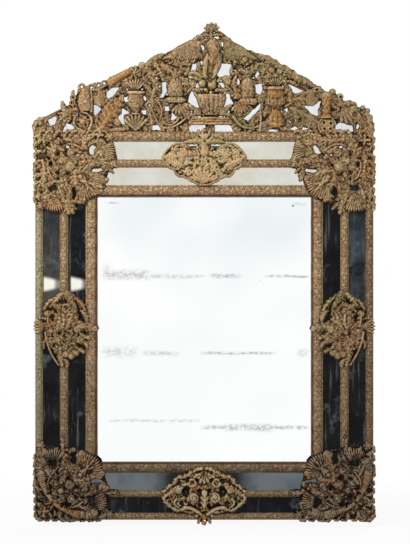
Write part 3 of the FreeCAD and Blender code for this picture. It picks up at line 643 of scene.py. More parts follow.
def running_vine(along, across, width):
    """Embossed pattern of a band, from 0 to 1: curls in the bends of a vine between beaded edges."""
    period = 0.92 * width
    bead_pitch = 5.2
    bend = np.floor(2 * along / period)
    side = 1.0 - 2.0 * (bend % 2)
    du = along - (bend + 0.5) * period / 2
    dv = across - width / 2 - side * 0.13 * width
    out = np.hypot(du, dv)
    reach = 0.20 * width
    turn = np.arctan2(dv * side, du) / (2 * math.pi)
    coil = half_round(2 * ((1.2 * out / reach + turn) % 1.0) - 1.0)
    curl = np.where(out < reach, 0.25 + 0.75 * coil, 0.0)
    vine = np.abs(across - width / 2 + 0.26 * width * np.sin(2 * math.pi * along / period))
    stem = half_round(np.clip(vine / (0.06 * width), 0.0, 1.0)) * 0.8
    leaf = 0.6 * np.clip(np.cos(2 * math.pi * (along / (0.22 * period) + 2.0 * side * dv / width)), 0.0, 1.0)
    leaf = np.where(side * dv < -0.16 * width, leaf, 0.0)
    pattern = np.maximum(np.maximum(curl, stem), leaf)
    edge = np.minimum(across, width - across)
    bead = 0.40 + 0.60 * np.abs(np.cos(math.pi * along / bead_pitch))
    bead = bead * half_round(np.clip(edge / (0.05 * width) - 1.0, -1.0, 1.0))
    return np.where(edge < 0.10 * width, bead, pattern)


def skin_quads(rows, columns):
    """Faces of a closed skin over a grid of points: its front, its back and its four rims."""
    number = np.arange(rows * columns).reshape(rows, columns)
    count = number.size
    a, b, c, d = number[:-1, :-1], number[1:, :-1], number[1:, 1:], number[:-1, 1:]
    front = np.stack((a, b, c, d), -1).reshape(-1, 4)
    faces = [front, front[:, ::-1] + count]
    for rim in (number[::-1, 0], number[:, -1], number[0, :], number[-1, ::-1]):
        first, second = rim[:-1], rim[1:]
        faces.append(np.stack((first, second, second + count, first + count), 1))
    return np.concatenate(faces)


def band_frames(ring):
    """Left, right, bottom and top of the opening inside a frame of bands, and of its outside."""
    left, right, top, bottom = (box_mm(RINGS[ring][side]) for side in SIDES)
    return ((left[1][0], right[0][0], bottom[1][2], top[0][2]),
            (left[0][0], right[1][0], bottom[0][2], top[1][2]))


def plain_round_pins(relief, along, place, upright):
    """Embossing of a band, left out round its pins."""
    for x, _, z in PINS:
        middle, level = (z, x) if upright else (x, z)
        away = np.hypot(along - middle, place - level)
        relief = relief * np.clip((away - PIN_CLEAR + 1.5) / 2.5, 0.0, 1.0)
    return relief


def band_skins(ring, grid, shut, inward):
    """Front of a band, as grids of its places across, depths, places along and cavity, and its back.

    A band whose solid goes down past the glass has a flange along that edge.
    """
    place, _, along, _ = grid
    grids = [grid]
    if shut > GLASS_FRONT + 1.0:
        row = slice(0, 1) if ring == "inner" else slice(-1, None)
        depth = np.full(place[row].shape, shut)
        flange = (place[row], depth, along[row], np.full(depth.shape, 0.5))
        grids = [flange, grid] if ring == "inner" else [grid, flange]
    outer = [np.concatenate(parts) for parts in zip(*grids)]
    step_in = np.zeros_like(outer[0])
    step_down = np.full_like(outer[0], SHEET_THICKNESS)
    if len(grids) > 1:
        turned, bend, thickness = (0, 1, SHEET_THICKNESS) if ring == "inner" else (-1, -2, -SHEET_THICKNESS)
        step_down[turned] = 0.0
        step_in[[turned, bend]] = thickness
    return outer, [outer[0] + inward * step_in, outer[1] + step_down, outer[2]]


def band_piece(ring, side, rng):
    """Arched and embossed skin of one side of a frame of bands, with mitred ends."""
    node = RINGS[ring][side]
    frames = band_frames(ring)
    upright = side in ("left", "right")
    edge = {"left": 0, "right": 1, "bottom": 2, "top": 3}[side]
    inner_edge, outer_edge = frames[0][edge], frames[1][edge]
    ends = [f[2:] if upright else f[:2] for f in frames]
    width = abs(outer_edge - inner_edge)
    columns = int((ends[1][1] - ends[1][0]) / BAND_GRID)
    rows = int(1.25 * width / BAND_GRID)
    share = np.linspace(0.0, 1.0, rows + 1)[:, None]
    t = np.linspace(0.0, 1.0, columns + 1)[None, :]
    start = ends[0][0] + (ends[1][0] - ends[0][0]) * share
    end = ends[0][1] + (ends[1][1] - ends[0][1]) * share
    along = start + (end - start) * t
    place = inner_edge + (outer_edge - inner_edge) * share + 0.0 * t

    curls = np.cos(2.4 * math.pi * speckle(rng, along.shape, BAND_CURLS / BAND_GRID))
    marks = 0.14 * speckle(rng, along.shape, BAND_MARKS / BAND_GRID)
    relief = 0.50 * running_vine(along, share * width + 0.0 * t, width) + 0.26 * curls + marks
    plain = np.clip((share - STRIP_SHARE) / STRIP_FADE, 0.0, 1.0) if ring == "inner" else 1.0
    relief = plain_round_pins(relief * plain, along, place, upright)
    arch = BAND_RISE * (1.0 - (2 * share - 1.0) ** 2)
    lift = relief * BAND_RELIEF * np.clip(4.0 * np.minimum(share, 1.0 - share) / 0.16, 0.0, 1.0)
    front = GLASS_FRONT - BAND_GAP - arch - lift + 0.4 * BAND_RELIEF * (arch / BAND_RISE)
    # Brighter on the raised pattern and darker in its hollows: wear and painted highlights, oxide and
    # painted shade
    rise = np.tanh(2.2 * (relief - blurred(relief, 3.2)))
    cavity = 0.45 + np.where(rise > 0.0, 0.58, 0.20) * rise
    # The plain strip is darkened as a painted shadow beside the plate
    cavity = STRIP_PAINTED_SHADOW + (cavity - STRIP_PAINTED_SHADOW) * plain

    def points(across_place, depth, along_place):
        x, z = (across_place, along_place) if upright else (along_place, across_place)
        return np.stack((x, depth, z), -1).reshape(-1, 3)

    inward = np.sign(outer_edge - inner_edge)
    outer, inner = band_skins(ring, (place, front, along, cavity), box_mm(node)[1][1], inward)
    quads = skin_quads(*outer[0].shape)
    if (inward > 0) != upright:
        quads = quads[:, ::-1]
    verts = np.concatenate((points(*outer[:3]), points(*inner)))
    piece = quads_object("embossed_" + node, verts, quads, cavity=np.tile(outer[3].ravel(), 2))
    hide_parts(node)
    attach(piece, ROOT)
    return piece


# Sheets. Each is laid out in its own u and v directions, in millimetres.

def scales(relief, middle, wide, tall):
    """Drooping bunch of overlapping scales inside an oval."""
    for row in range(7):
        level = 1.0 - 2.0 * row / 6
        reach = wide * math.sqrt(max(1.0 - level ** 2, 0.0)) + 2.0
        for step in range(-2, 3):
            place = 0.5 * step + 0.25 * (row % 2)
            if abs(place) <= 1.0:
                dome = 6.5 * (1.0 - 0.6 * place ** 2)
                point = (middle[0] + reach * place, middle[1] + tall * level)
                relief.boss([point], 0.30 * wide + 2.0, 3.4, lift=dome - 2.6 + 0.35 * row, grain=0.3)


def corner_relief(seed, lower):
    """Corner mount; u and v run in from its outer corner. Lower ones are shorter and carry horns."""
    relief = Relief((-8, -8), (240, 240), seed, across_diagonal, 1.4 if lower else FAINT_SOIL_AND_SHADE)
    if lower:
        edge = [(208, 3), (208, 34), (206, 74), (203, 98), (198, 112), (192, 138), (184, 166)]
    else:
        edge = [(212, 3), (220, 34), (230, 74), (228, 98), (207, 110), (197, 138), (189, 166)]
    relief.plate([(3, 3)] + edge + [(v, u) for u, v in edge[::-1]], 0.3 if lower else 0.9)
    relief.foliage(100, (34, 50), (4.0, 8.0))
    relief.foliage(80, (14, 24), (5.0, 8.0))
    # Curled leaves down the outer edges
    for foot in np.cumsum(relief.rng.uniform(15, 29, 9)) - 14:
        wide = relief.rng.uniform(13, 20)
        relief.pair(relief.leaf, [(18, foot), (-5, foot + 4), (1, foot + 1.4 * wide)], wide, 7, 3)
        relief.pair(relief.boss, [(3, foot + 1.25 * wide)], 0.24 * wide, 6.0)
    relief.pair(relief.stem, [(26, 12), (20, 50), (58, 54)], 9, 8, taper=0.8)
    if lower:
        relief.pair(relief.stem, [(130, 17), (100, 20), (58, 46)], 29, 12, taper=0.5, rings=12, warmth=0.3)
        relief.pair(relief.stem, [(162, 20), (148, 12), (130, 17)], 34, 10, taper=0.8, rings=4, warmth=-0.5)
    else:
        relief.pair(relief.scroll, [(56, 45)], 13, 7, 1.5, 40)
        relief.pair(relief.leaf, [(22, 84), (34, 122), (18, 160)], 30, 9, 5)
    # Fruit in the middle of the corner, with flowers and volutes round it
    relief.boss([(98, 100)], 17, 11)
    relief.boss([(74, 84)], 11, 9)
    relief.pair(relief.rosette, [(136, 86)], 15, 10)
    relief.pair(relief.scroll, [(103, 59)], 15, 9, 1.7, 120)
    relief.pair(relief.stem, [(84, 40), (110, 30), (134, 52)], 9, 8, taper=0.7)
    relief.pair(relief.leaf, [(44, 104), (58, 122), (80, 140)], 28, 9, 4)
    # Palmette and acanthus leaves spread towards the middle of the mirror
    relief.pair(relief.leaf, [(112, 112), (150, 110), (196, 136)], 44, 9, 7)
    relief.shell([(134, 134), (176, 172)], 10, 62, 15, groove=0.18)
    relief.pair(relief.leaf, [(128, 138), (148, 146), (170, 150)], 17, 12, 4)
    relief.leaf([(126, 126), (142, 144), (168, 172)], 18, 13, 4)
    relief.boss([(128, 128)], 9, 11)
    relief.pair(relief.ring, [(124, 168)], 9, 4.5, 7)
    # Fluted bells at the two tips, with leaves at their feet
    bell = 202 if lower else 226
    relief.pair(relief.shell, [(bell - 52, 54), (bell, 56)], 12, 34, 8)
    relief.pair(relief.leaf, [(bell - 74, 40), (bell - 54, 26), (bell - 34, 30)], 26, 9, 4)
    relief.pair(relief.leaf, [(bell - 68, 66), (bell - 50, 80), (bell - 26, 80)], 26, 9, 4)
    if lower:
        relief.pair(relief.leaf, [(186, 77), (212, 77), (240, 77)], 17, 7, 3)
    else:
        relief.pair(relief.leaf, [(196, 88), (214, 88), (233, 97)], 28, 8, 4)
        relief.pair(relief.leaf, [(200, 100), (212, 108), (220, 118)], 14, 5, 3)
    relief.pair(relief.rosette, [(209, 16)], 14, 7)
    relief.pair(relief.leaf, [(150, 14), (168, 6), (194, 12)], 20, 8, 4)
    # Openings that show the glass
    opening = [(150, 44), (162, 38), (171, 44), (165, 54), (167, 62), (156, 65), (150, 56)]
    relief.pair(relief.cut, opening, 2.2)
    relief.pair(relief.cut, [(158, 103), (186, 102), (192, 110), (172, 117), (157, 113)])
    relief.pair(relief.cut, [(84, 38), (94, 40), (98, 46), (88, 50)], 1.0)
    relief.pair(relief.pierce, [(118, 66), (132, 66), (40, 32), (66, 64), (120, 92), (40, 76)], 3.2)
    return relief


def side_cartouche_relief(seed):
    """Upright cartouche about its centre; u runs inwards, towards the middle plate."""
    relief = Relief((-90, -112), (98, 112), seed, across_axis, FAINT_SOIL_AND_SHADE)
    oval = []
    for step in range(36):
        turn = math.radians(10 * step)
        oval.append((54 * math.cos(turn), 80 * math.sin(turn)))
    relief.plate(oval)
    relief.plate([(-7, -104), (7, -104), (7, 104), (-7, 104)])
    relief.foliage(90, (18, 32), (4.0, 7.0))
    relief.foliage(90, (8, 15), (4.0, 7.0))
    # Leaf and curls of the top
    relief.leaf([(2, 106), (18, 90), (36, 58)], 28, 10, 0)
    relief.stem([(26, 98), (42, 76), (48, 52)], 6, 6)
    relief.leaf([(-4, 100), (-20, 88), (-40, 60)], 24, 8, 5)
    relief.leaf([(-34, 70), (-18, 68), (-8, 56)], 20, 9, 0)
    relief.scroll([(-46, 44)], 12, 7, 1.5)
    relief.stem([(-44, 52), (-48, 34), (-40, 8)], 7, 7, taper=0.8)
    # Petals and fruit of the middle
    relief.leaf([(-4, 4), (-14, 18), (-12, 38)], 22, 9, 4)
    relief.leaf([(-4, 4), (6, 20), (-2, 46)], 18, 10, 4)
    relief.leaf([(4, 2), (22, 22), (24, 48)], 22, 8, 6)
    relief.boss([(39, 1)], 12.5, 9.0)
    relief.boss([(-36, -4)], 8.0, 7.0)
    relief.leaf([(44, 6), (70, 12), (94, -2)], 36, 8, 4)
    relief.leaf([(46, -10), (60, -24), (76, -24)], 20, 7, 3)
    relief.shell([(-40, 8), (-86, 10)], 9, 32, 5)
    relief.beads([(-52, 30), (-62, 34), (-74, 30)], 4, 5.0, 4.0)
    # Rosette, bowl and long stem of the lower half
    relief.rosette([(21, -31)], 19, 10, 7)
    relief.rosette([(-16, -30)], 15, 8, 5)
    relief.scroll([(48, -28)], 14, 7, 1.6)
    relief.shell([(18, -56), (22, -84)], 11, 78, 3)
    relief.leaf([(-8, -52), (-12, -70), (-4, -104)], 28, 9, 5)
    relief.leaf([(4, -84), (12, -94), (8, -107)], 18, 7, 3)
    relief.stem([(-52, -8), (-46, -58), (-14, -99)], 8, 8, taper=0.9)
    relief.leaf([(34, -48), (44, -58), (60, -64)], 22, 7, 3)
    relief.leaf([(30, 88), (52, 76), (62, 46)], 20, 7, 4)
    relief.leaf([(48, 52), (66, 44), (64, 18)], 22, 7, 4)
    relief.leaf([(40, -34), (64, -32), (66, -54)], 20, 7, 3)
    relief.leaf([(-30, 84), (-50, 72), (-56, 52)], 18, 7, 3)
    relief.leaf([(-44, -24), (-60, -34), (-54, -56)], 16, 6, 3)
    relief.pierce([(45, 46), (46, 38), (45, 30), (-30, 36), (-31, 28)], 3.8)
    relief.pierce([(-12, -10), (50, -46), (43, -46)], 3.8)
    relief.pierce([(21, -31), (2, -16), (-28, -46), (8, 60), (-24, 50)], 2.8)
    return relief


def long_cartouche_relief(seed, wrought):
    """Lying cartouche about the middle of its side tips, stem upwards; the wrought one is richer."""
    relief = Relief((-122, -82), (122, 92), seed, across_axis, 1.5 if wrought else 0.5)
    edge = [(20, 38), (46, 36), (68, 44), (92, 36), (116, 5), (104, -14), (84, -28), (72, -46), (58, -46),
            (44, -52), (30, -62)]
    relief.plate([(0, 40)] + edge + [(0, -72)] + [(-u, v) for u, v in edge[::-1]])
    relief.foliage(110, (18, 30), (2.5, 5.0))
    relief.foliage(70, (8, 14), (3.0, 5.0))
    for start, end in zip(edge[1:], edge[2:] + [(2, -72)]):
        pull = (0.53 * (start[0] + end[0]), 0.54 * (start[1] + end[1]))
        if wrought:
            relief.pair(relief.leaf, [start, pull, end], 18, 8, 3)
        else:
            relief.pair(relief.stem, [start, pull, end], 7, 5.5, taper=1.0)
    # Ribbed leaves of the side tips and the bosses beside them
    relief.pair(relief.leaf, [(62, -18), (84, -14), (112, 6)], 28, 9, 7)
    relief.pair(relief.boss, [(112, 6)], 8.0, 7.0)
    # Shell opposite the stem
    relief.shell([(0, -66), (0, -28)], 10, 66, 7)
    relief.pair(relief.leaf, [(10, -54), (28, -60), (40, -48)], 18, 7, 3)
    # Stem with its leaves
    relief.leaf([(0, 30), (-3, 56), (0, 88)], 30, 9, 4)
    relief.pair(relief.leaf, [(4, 44), (16, 50), (24, 64)], 18, 7, 3)
    relief.pair(relief.leaf, [(6, 46), (32, 54), (60, 45)], 19, 6, 4)
    relief.pair(relief.leaf, [(6, 60), (14, 72), (18, 84)], 14, 6, 2)
    relief.pierce([(1, 74), (0, 50)], 3.0)
    relief.pair(relief.pierce, [(14, 62)], 2.4)
    if wrought:
        relief.pair(relief.scroll, [(30, 10)], 17, 9, 1.7)
        relief.leaf([(0, 34), (2, 12), (0, -14)], 30, 12, 3, grain=0.15)
        relief.pair(relief.stem, [(54, 38), (34, 36), (8, 56)], 13, 9, taper=0.9)
        relief.pair(relief.boss, [(72, -12)], 12.0, 9.0)
        relief.pair(relief.stem, [(78, 14), (92, 26), (70, 38)], 9, 8)
        relief.pair(relief.ring, [(34, -32)], 10, 4, 6)
        relief.pair(relief.dent, [(50, -14), (54, -8), (51, -2)], 8.5, 9.0)
        relief.pair(relief.dent, [(20, -40), (47, -38), (64, 24), (12, 30), (14, -10)], 5.5, 8.0)
        relief.pair(relief.pierce, [(40, 30), (16, -2), (52, -8)], 3.0)
        return relief
    relief.boss([(0, 18)], 12.0, 10.0)
    relief.leaf([(0, 20), (0, 32), (0, 46)], 26, 8, 0)
    relief.pair(relief.scroll, [(60, 17)], 17, 7, 1.7)
    relief.pair(relief.leaf, [(14, 12), (28, 20), (44, 14)], 18, 6, 3)
    relief.pair(relief.ring, [(12, -7)], 6.0, 3.0, 4)
    relief.ring([(25, -42)], 10, 3.6, 5)
    relief.pair(relief.leaf, [(46, 34), (62, 42), (84, 34)], 16, 6, 3)
    relief.pair(relief.score, [(14, 40), (30, 39), (46, 36)], 1.3, 3.5)
    relief.pair(relief.pierce, [(74, 20), (66, 30), (48, 4), (12, -7), (28, 22)], 2.8)
    relief.pierce([(36, -8), (42, -12), (49, -13), (56, -13), (60, -10)], 2.6)
    relief.pierce([(-36, -4), (-30, -6), (-42, 2)], 2.6)
    return relief


def crest_left_relief():
    """Left half of the crest: u runs outwards from the crest axis, v up from the crest band."""
    relief = Relief((54, -8), (500, 246), 21, soil_and_shade=FAINT_SOIL_AND_SHADE)
    relief.plate([(58, -3), (488, -3), (490, 20), (478, 36), (456, 38), (418, 58), (412, 74), (402, 64),
                  (392, 74), (386, 104), (376, 94), (370, 118), (356, 126), (330, 130), (312, 132),
                  (284, 134), (252, 156), (228, 166), (212, 180), (176, 188), (150, 200), (124, 214),
                  (92, 222), (62, 240), (46, 200), (58, 150), (54, 60)])
    relief.foliage(260, (18, 34), (3.5, 7.0))
    relief.foliage(220, (8, 16), (4.0, 7.0))
    # Shoulder leaves and berry
    relief.leaf([(488, -8), (484, 8), (470, 12)], 26, 7, 3)
    relief.leaf([(490, 4), (490, 30), (458, 38)], 24, 9, 4)
    relief.leaf([(484, -2), (462, 8), (462, 34)], 24, 8, 4)
    relief.boss([(474, 22)], 9.0, 9.0)
    relief.leaf([(440, -4), (452, 8), (450, 28)], 22, 7, 3)
    relief.leaf([(420, -2), (433, 18), (427, 44)], 26, 9, 0)
    relief.leaf([(426, 24), (410, 40), (394, 62)], 26, 8, 4)
    relief.leaf([(406, 48), (408, 64), (415, 86)], 20, 8, 4)
    relief.leaf([(404, 42), (388, 60), (368, 64)], 22, 8, 3)
    relief.stem([(380, 60), (386, 74), (383, 88)], 7, 5)
    relief.ring([(383, 95), (385, 80)], 6.5, 3.2, 4)
    relief.leaf([(382, 98), (386, 108), (381, 117)], 11, 5, 0)
    # Rose with rolled outer petals, and a pear above it
    relief.rosette([(355, 27)], 33, 10, 5, 0.3)
    relief.stem([(338, 6), (316, 46), (360, 54)], 11, 9, taper=0.6)
    relief.stem([(372, 48), (396, 10), (350, 1)], 11, 9, taper=0.6)
    relief.leaf([(342, 16), (340, 42), (366, 44)], 13, 10, 0)
    relief.leaf([(370, 38), (376, 16), (350, 12)], 13, 10, 0)
    relief.boss([(356, 27)], 10.0, 11.0)
    relief.dent([(342, 38), (369, 26), (348, 18)], 3.0, 7.0)
    pear = ((0, 15), (10, 19), (26, 21), (42, 18), (56, 14), (66, 9))
    relief.vase([(350, 56)], pear, 0.72)
    relief.stem([(332, 56), (328, 84), (333, 114)], 10, 8)
    relief.ring([(359, 124), (332, 123)], 8.0, 3.4, 5)
    relief.boss([(345, 120)], 7.0, 6.0)
    # Scaly bunch under a chain of rings
    scales(relief, (310, 94), 15, 20)
    relief.stem([(334, 116), (312, 114), (286, 132)], 8, 6)
    relief.ring([(312, 129), (296, 134)], 7.0, 3.2, 4)
    relief.boss([(304, 122), (286, 138)], 6.0, 5.0)
    # Long smooth leaf along the slope
    relief.stem([(278, 138), (254, 152), (228, 166)], 25, 11, taper=0.8)
    relief.leaf([(286, 132), (280, 146), (262, 156)], 18, 7, 3)
    relief.leaf([(250, 146), (232, 138), (216, 120)], 18, 7, 3)
    # Acanthus between the rose and the urn
    relief.leaf([(310, 2), (282, 38), (240, 102)], 58, 14, 8)
    relief.leaf([(300, 26), (298, 54), (276, 84)], 30, 10, 5)
    relief.leaf([(318, 24), (316, 48), (306, 72)], 20, 8, 4)
    relief.boss([(260, 27)], 14.0, 10.0)
    relief.leaf([(292, 2), (262, 8), (234, 6)], 18, 6, 3)
    # Urn on a foot of leaves, filled with flowers
    relief.shell([(208, 0), (208, 50)], 12, 50, 7)
    relief.vase([(208, 46)], ((0, 16), (8, 10), (16, 14)), 0.7)
    body = ((0, 13), (8, 21), (22, 26), (34, 25), (42, 24), (46, 28), (51, 27))
    relief.vase([(208, 61)], body, 0.66, collars=(44.0,))
    relief.shell([(208, 108), (208, 148)], 13, 46, 7)
    relief.rosette([(211, 163)], 22, 13, 7)
    relief.leaf([(222, 160), (238, 160), (246, 146)], 16, 8, 3)
    relief.rosette([(184, 146), (234, 134)], 14, 9)
    # Flowers along the slope
    relief.rosette([(178, 176), (158, 158)], 17, 10)
    relief.boss([(190, 184), (150, 186)], 11.0, 8.0)
    relief.leaf([(176, 184), (152, 204), (126, 216)], 26, 9, 0)
    relief.leaf([(168, 152), (148, 140), (150, 112)], 24, 9, 4)
    relief.leaf([(146, 176), (132, 162), (130, 138)], 22, 9, 4)
    relief.leaf([(186, 132), (170, 122), (164, 104)], 20, 8, 4)
    # Volutes and stems between the urn and the baluster
    relief.ring([(169, 73)], 9.0, 4.0, 7)
    relief.ring([(154, 84)], 6.0, 3.2, 5)
    relief.leaf([(160, 84), (164, 104), (150, 126)], 22, 9, 4)
    relief.stem([(152, 88), (124, 66), (142, 28)], 9, 7)
    relief.stem([(164, 66), (158, 38), (128, 2)], 9, 7)
    relief.leaf([(172, 60), (160, 30), (162, 2)], 26, 8, 4)
    relief.leaf([(128, 62), (118, 48), (118, 26)], 16, 7, 0)
    # Baluster over a toothed rim, with leaves above it
    baluster = ((0, 17), (6, 22), (18, 24), (34, 22), (50, 15), (58, 11), (64, 13), (70, 9))
    relief.vase([(97, 94)], baluster, 0.62, collars=(60.0,))
    relief.vase([(97, 80)], ((0, 25), (8, 31), (15, 24)), 0.5, 9)
    relief.leaf([(120, 86), (132, 82), (142, 90)], 13, 5, 0)
    relief.leaf([(98, 158), (116, 174), (140, 190)], 28, 10, 4)
    relief.leaf([(97, 158), (92, 186), (106, 210)], 28, 11, 4)
    relief.leaf([(94, 158), (74, 174), (64, 196)], 24, 9, 4)
    relief.leaf([(134, 194), (114, 216), (88, 224)], 26, 9, 0)
    relief.leaf([(104, 212), (84, 230), (58, 240)], 26, 9, 0)
    relief.leaf([(84, 150), (68, 142), (60, 126)], 20, 8, 4)
    relief.leaf([(80, 120), (66, 116), (58, 106)], 16, 7, 3)
    # Shell and C-scrolls over the foot
    relief.shell([(86, 82), (74, 46)], 10, 62, 7)
    relief.stem([(146, 20), (116, -8), (66, 38)], 10, 7)
    relief.stem([(132, 26), (104, 4), (84, 42)], 8, 6)
    relief.scroll([(137, 22)], 11, 6, 1.5)
    relief.leaf([(112, 8), (100, 22), (104, 38)], 16, 6, 3)
    # Openings that show the glass
    relief.cut([(453, 33), (432, 43), (425, 34), (432, 20), (449, 13)])
    relief.cut([(414, -2), (402, 23), (385, 19), (373, -2)])
    relief.cut([(328, 77), (324, 45), (299, 60), (318, 76)])
    relief.cut([(291, 110), (273, 121), (250, 131), (254, 115), (286, 88)])
    relief.cut([(240, 98), (231, 97), (231, 83), (240, 80)])
    relief.cut([(248, 69), (225, 53), (241, 44), (239, 20), (245, 22), (258, 39), (248, 52)], 1.0)
    relief.cut([(194, 59), (177, 62), (177, 47), (187, 46)], 1.0)
    relief.cut([(186, 103), (177, 95), (179, 80), (187, 93)], 1.0)
    relief.cut([(137, 140), (122, 138), (121, 109), (131, 93), (145, 92), (134, 109)], 1.0)
    relief.cut([(131, 173), (118, 160), (126, 158)], 0.8)
    relief.cut([(131, 75), (111, 73), (111, 54), (128, 55)])
    relief.cut([(108, 56), (89, 39), (109, 30)], 1.0)
    relief.cut([(163, 19), (146, 19), (137, 4), (163, 3)], 1.0)
    relief.cut([(55, 110), (38, 118), (34, 102), (44, 70), (62, 84)])
    relief.cut([(58, 14), (10, 14), (10, -3), (58, -3)], 1.0)
    relief.pierce([(150, 150), (141, 126), (359, 124), (332, 123), (169, 73), (312, 129)], 3.2)
    relief.pierce([(232, 118), (190, 118), (372, 46), (338, 44), (120, 104), (76, 134), (296, 134)], 2.6)
    return relief


def crest_right_relief():
    """Right half of the crest: u runs outwards from the crest axis, v up from the crest band."""
    relief = Relief((54, -8), (468, 246), 22, soil_and_shade=FAINT_SOIL_AND_SHADE)
    relief.plate([(58, -3), (454, -3), (454, 20), (440, 46), (428, 62), (412, 62), (404, 78), (388, 80),
                  (376, 84), (366, 98), (344, 110), (326, 112), (300, 118), (284, 126), (268, 140),
                  (246, 148), (220, 162), (196, 180), (164, 196), (128, 216), (96, 232), (62, 240),
                  (46, 200), (58, 150), (54, 60)])
    relief.foliage(260, (18, 34), (3.5, 7.0))
    relief.foliage(220, (8, 16), (4.0, 7.0))
    # Shoulder leaves
    relief.leaf([(450, -8), (452, 20), (436, 58)], 28, 9, 4)
    relief.scroll([(444, 4)], 14, 8, 1.5)
    relief.boss([(441, 58), (449, 40), (428, 66)], 7.5, 6.0)
    relief.leaf([(418, -2), (426, 22), (418, 48)], 24, 9, 0)
    relief.leaf([(432, -2), (438, 12), (434, 30)], 20, 7, 3)
    # Fan leaf
    relief.shell([(368, 74), (398, 22)], 11, 36, 5)
    relief.boss([(402, 62)], 14.0, 8.0)
    relief.leaf([(362, 72), (386, 84), (412, 74)], 22, 8, 3)
    # Pillar on a rose with dark eyes
    relief.boss([(328, 15)], 27, 9.0)
    relief.ring([(328, 15)], 24, 3, 8)
    pillar = ((0, 22), (12, 13), (30, 12), (52, 15), (66, 19), (74, 13))
    relief.vase([(326, 36)], pillar, 0.66)
    relief.boss([(343, 110), (364, 97)], 10.0, 8.0)
    relief.stem([(338, 92), (354, 96), (374, 80)], 8, 6)
    relief.leaf([(348, 84), (358, 72), (378, 72)], 20, 7, 3)
    relief.rosette([(302, 114)], 15, 8)
    relief.leaf([(322, 104), (296, 126), (278, 130)], 20, 8, 4)
    # Scaly cone hanging under the slope
    scales(relief, (284, 90), 14, 18)
    relief.leaf([(296, 112), (280, 112), (262, 106)], 18, 7, 3)
    relief.boss([(266, 138)], 9.5, 8.0)
    relief.boss([(280, 130)], 6.0, 5.0)
    # Leaves along the slope
    relief.leaf([(282, 132), (254, 146), (222, 160)], 26, 9, 0)
    relief.leaf([(246, 148), (216, 174), (172, 190)], 28, 9, 3)
    relief.leaf([(198, 178), (166, 202), (130, 214)], 28, 9, 3)
    relief.leaf([(148, 200), (118, 216), (84, 226)], 26, 9, 3)
    relief.leaf([(110, 212), (90, 230), (60, 240)], 24, 9, 0)
    # Branches between the pillar and the urn
    relief.leaf([(226, 64), (266, 52), (330, 4)], 28, 9, 4, grain=0.15)
    relief.leaf([(224, 84), (246, 102), (282, 82)], 24, 8, 4)
    relief.stem([(212, 70), (234, 82), (264, 108)], 8, 6)
    relief.leaf([(262, 50), (284, 36), (296, 8)], 22, 7, 3)
    relief.leaf([(232, 66), (244, 46), (240, 20)], 22, 8, 4)
    relief.rosette([(224, 27)], 13, 8, 5)
    relief.stem([(212, 8), (240, -6), (264, 20)], 7, 6)
    relief.leaf([(300, 2), (292, 12), (276, 16)], 14, 5, 0)
    # Urn on a gadrooned stand, filled with flowers
    stand = ((0, 15), (8, 25), (22, 26), (40, 17), (54, 12), (60, 16))
    relief.vase([(183, 10)], stand, 0.56, 5)
    relief.vase([(183, 68)], ((0, 15), (8, 27), (18, 30), (27, 26)), 0.5, 8)
    relief.vase([(183, 93)], ((0, 24), (12, 27), (22, 23), (26, 27), (31, 26)), 0.64, collars=(24.0,))
    relief.shell([(183, 118), (183, 152)], 12, 48, 7)
    relief.rosette([(160, 140), (184, 154), (208, 140)], 15, 10)
    relief.boss([(214, 116), (154, 122)], 8.0, 7.0)
    relief.boss([(196, 168), (172, 172)], 10.0, 8.0)
    relief.leaf([(172, 10), (158, 4), (144, 8)], 16, 6, 3)
    relief.leaf([(196, 10), (208, 4), (216, 14)], 16, 6, 3)
    # Stems and buds between the urn and the baluster
    relief.stem([(140, 2), (146, 44), (136, 90)], 9, 7)
    relief.leaf([(140, 60), (148, 78), (140, 96)], 15, 7, 3)
    relief.leaf([(120, 8), (116, 30), (126, 58)], 22, 9, 0)
    relief.leaf([(138, 92), (132, 104), (122, 108)], 14, 6, 0)
    relief.leaf([(150, 130), (134, 140), (134, 168)], 22, 9, 4)
    # Baluster on a bowl, with leaves above it
    baluster = ((0, 18), (8, 20), (30, 19), (50, 17), (60, 9), (72, 8), (77, 13))
    relief.vase([(105, 91)], baluster, 0.66, collars=(62.0, 74.0))
    relief.vase([(107, 74)], ((0, 20), (10, 29), (18, 24)), 0.55, 8)
    relief.leaf([(106, 164), (124, 174), (148, 186)], 26, 9, 4)
    relief.leaf([(104, 164), (98, 186), (110, 208)], 28, 10, 5)
    relief.leaf([(102, 164), (80, 176), (70, 198)], 24, 9, 4)
    relief.leaf([(74, 108), (58, 130), (76, 158)], 20, 9, 4)
    relief.leaf([(90, 98), (66, 104), (44, 122)], 26, 9, 5)
    # Shell and C-scrolls over the foot
    relief.shell([(84, 84), (90, 48)], 10, 60, 7)
    relief.stem([(66, 40), (96, -10), (148, 20)], 11, 8)
    relief.stem([(84, 36), (106, 6), (126, 22)], 8, 6)
    relief.scroll([(150, 18)], 11, 6, 1.5)
    relief.leaf([(104, 10), (92, 22), (96, 38)], 16, 6, 3)
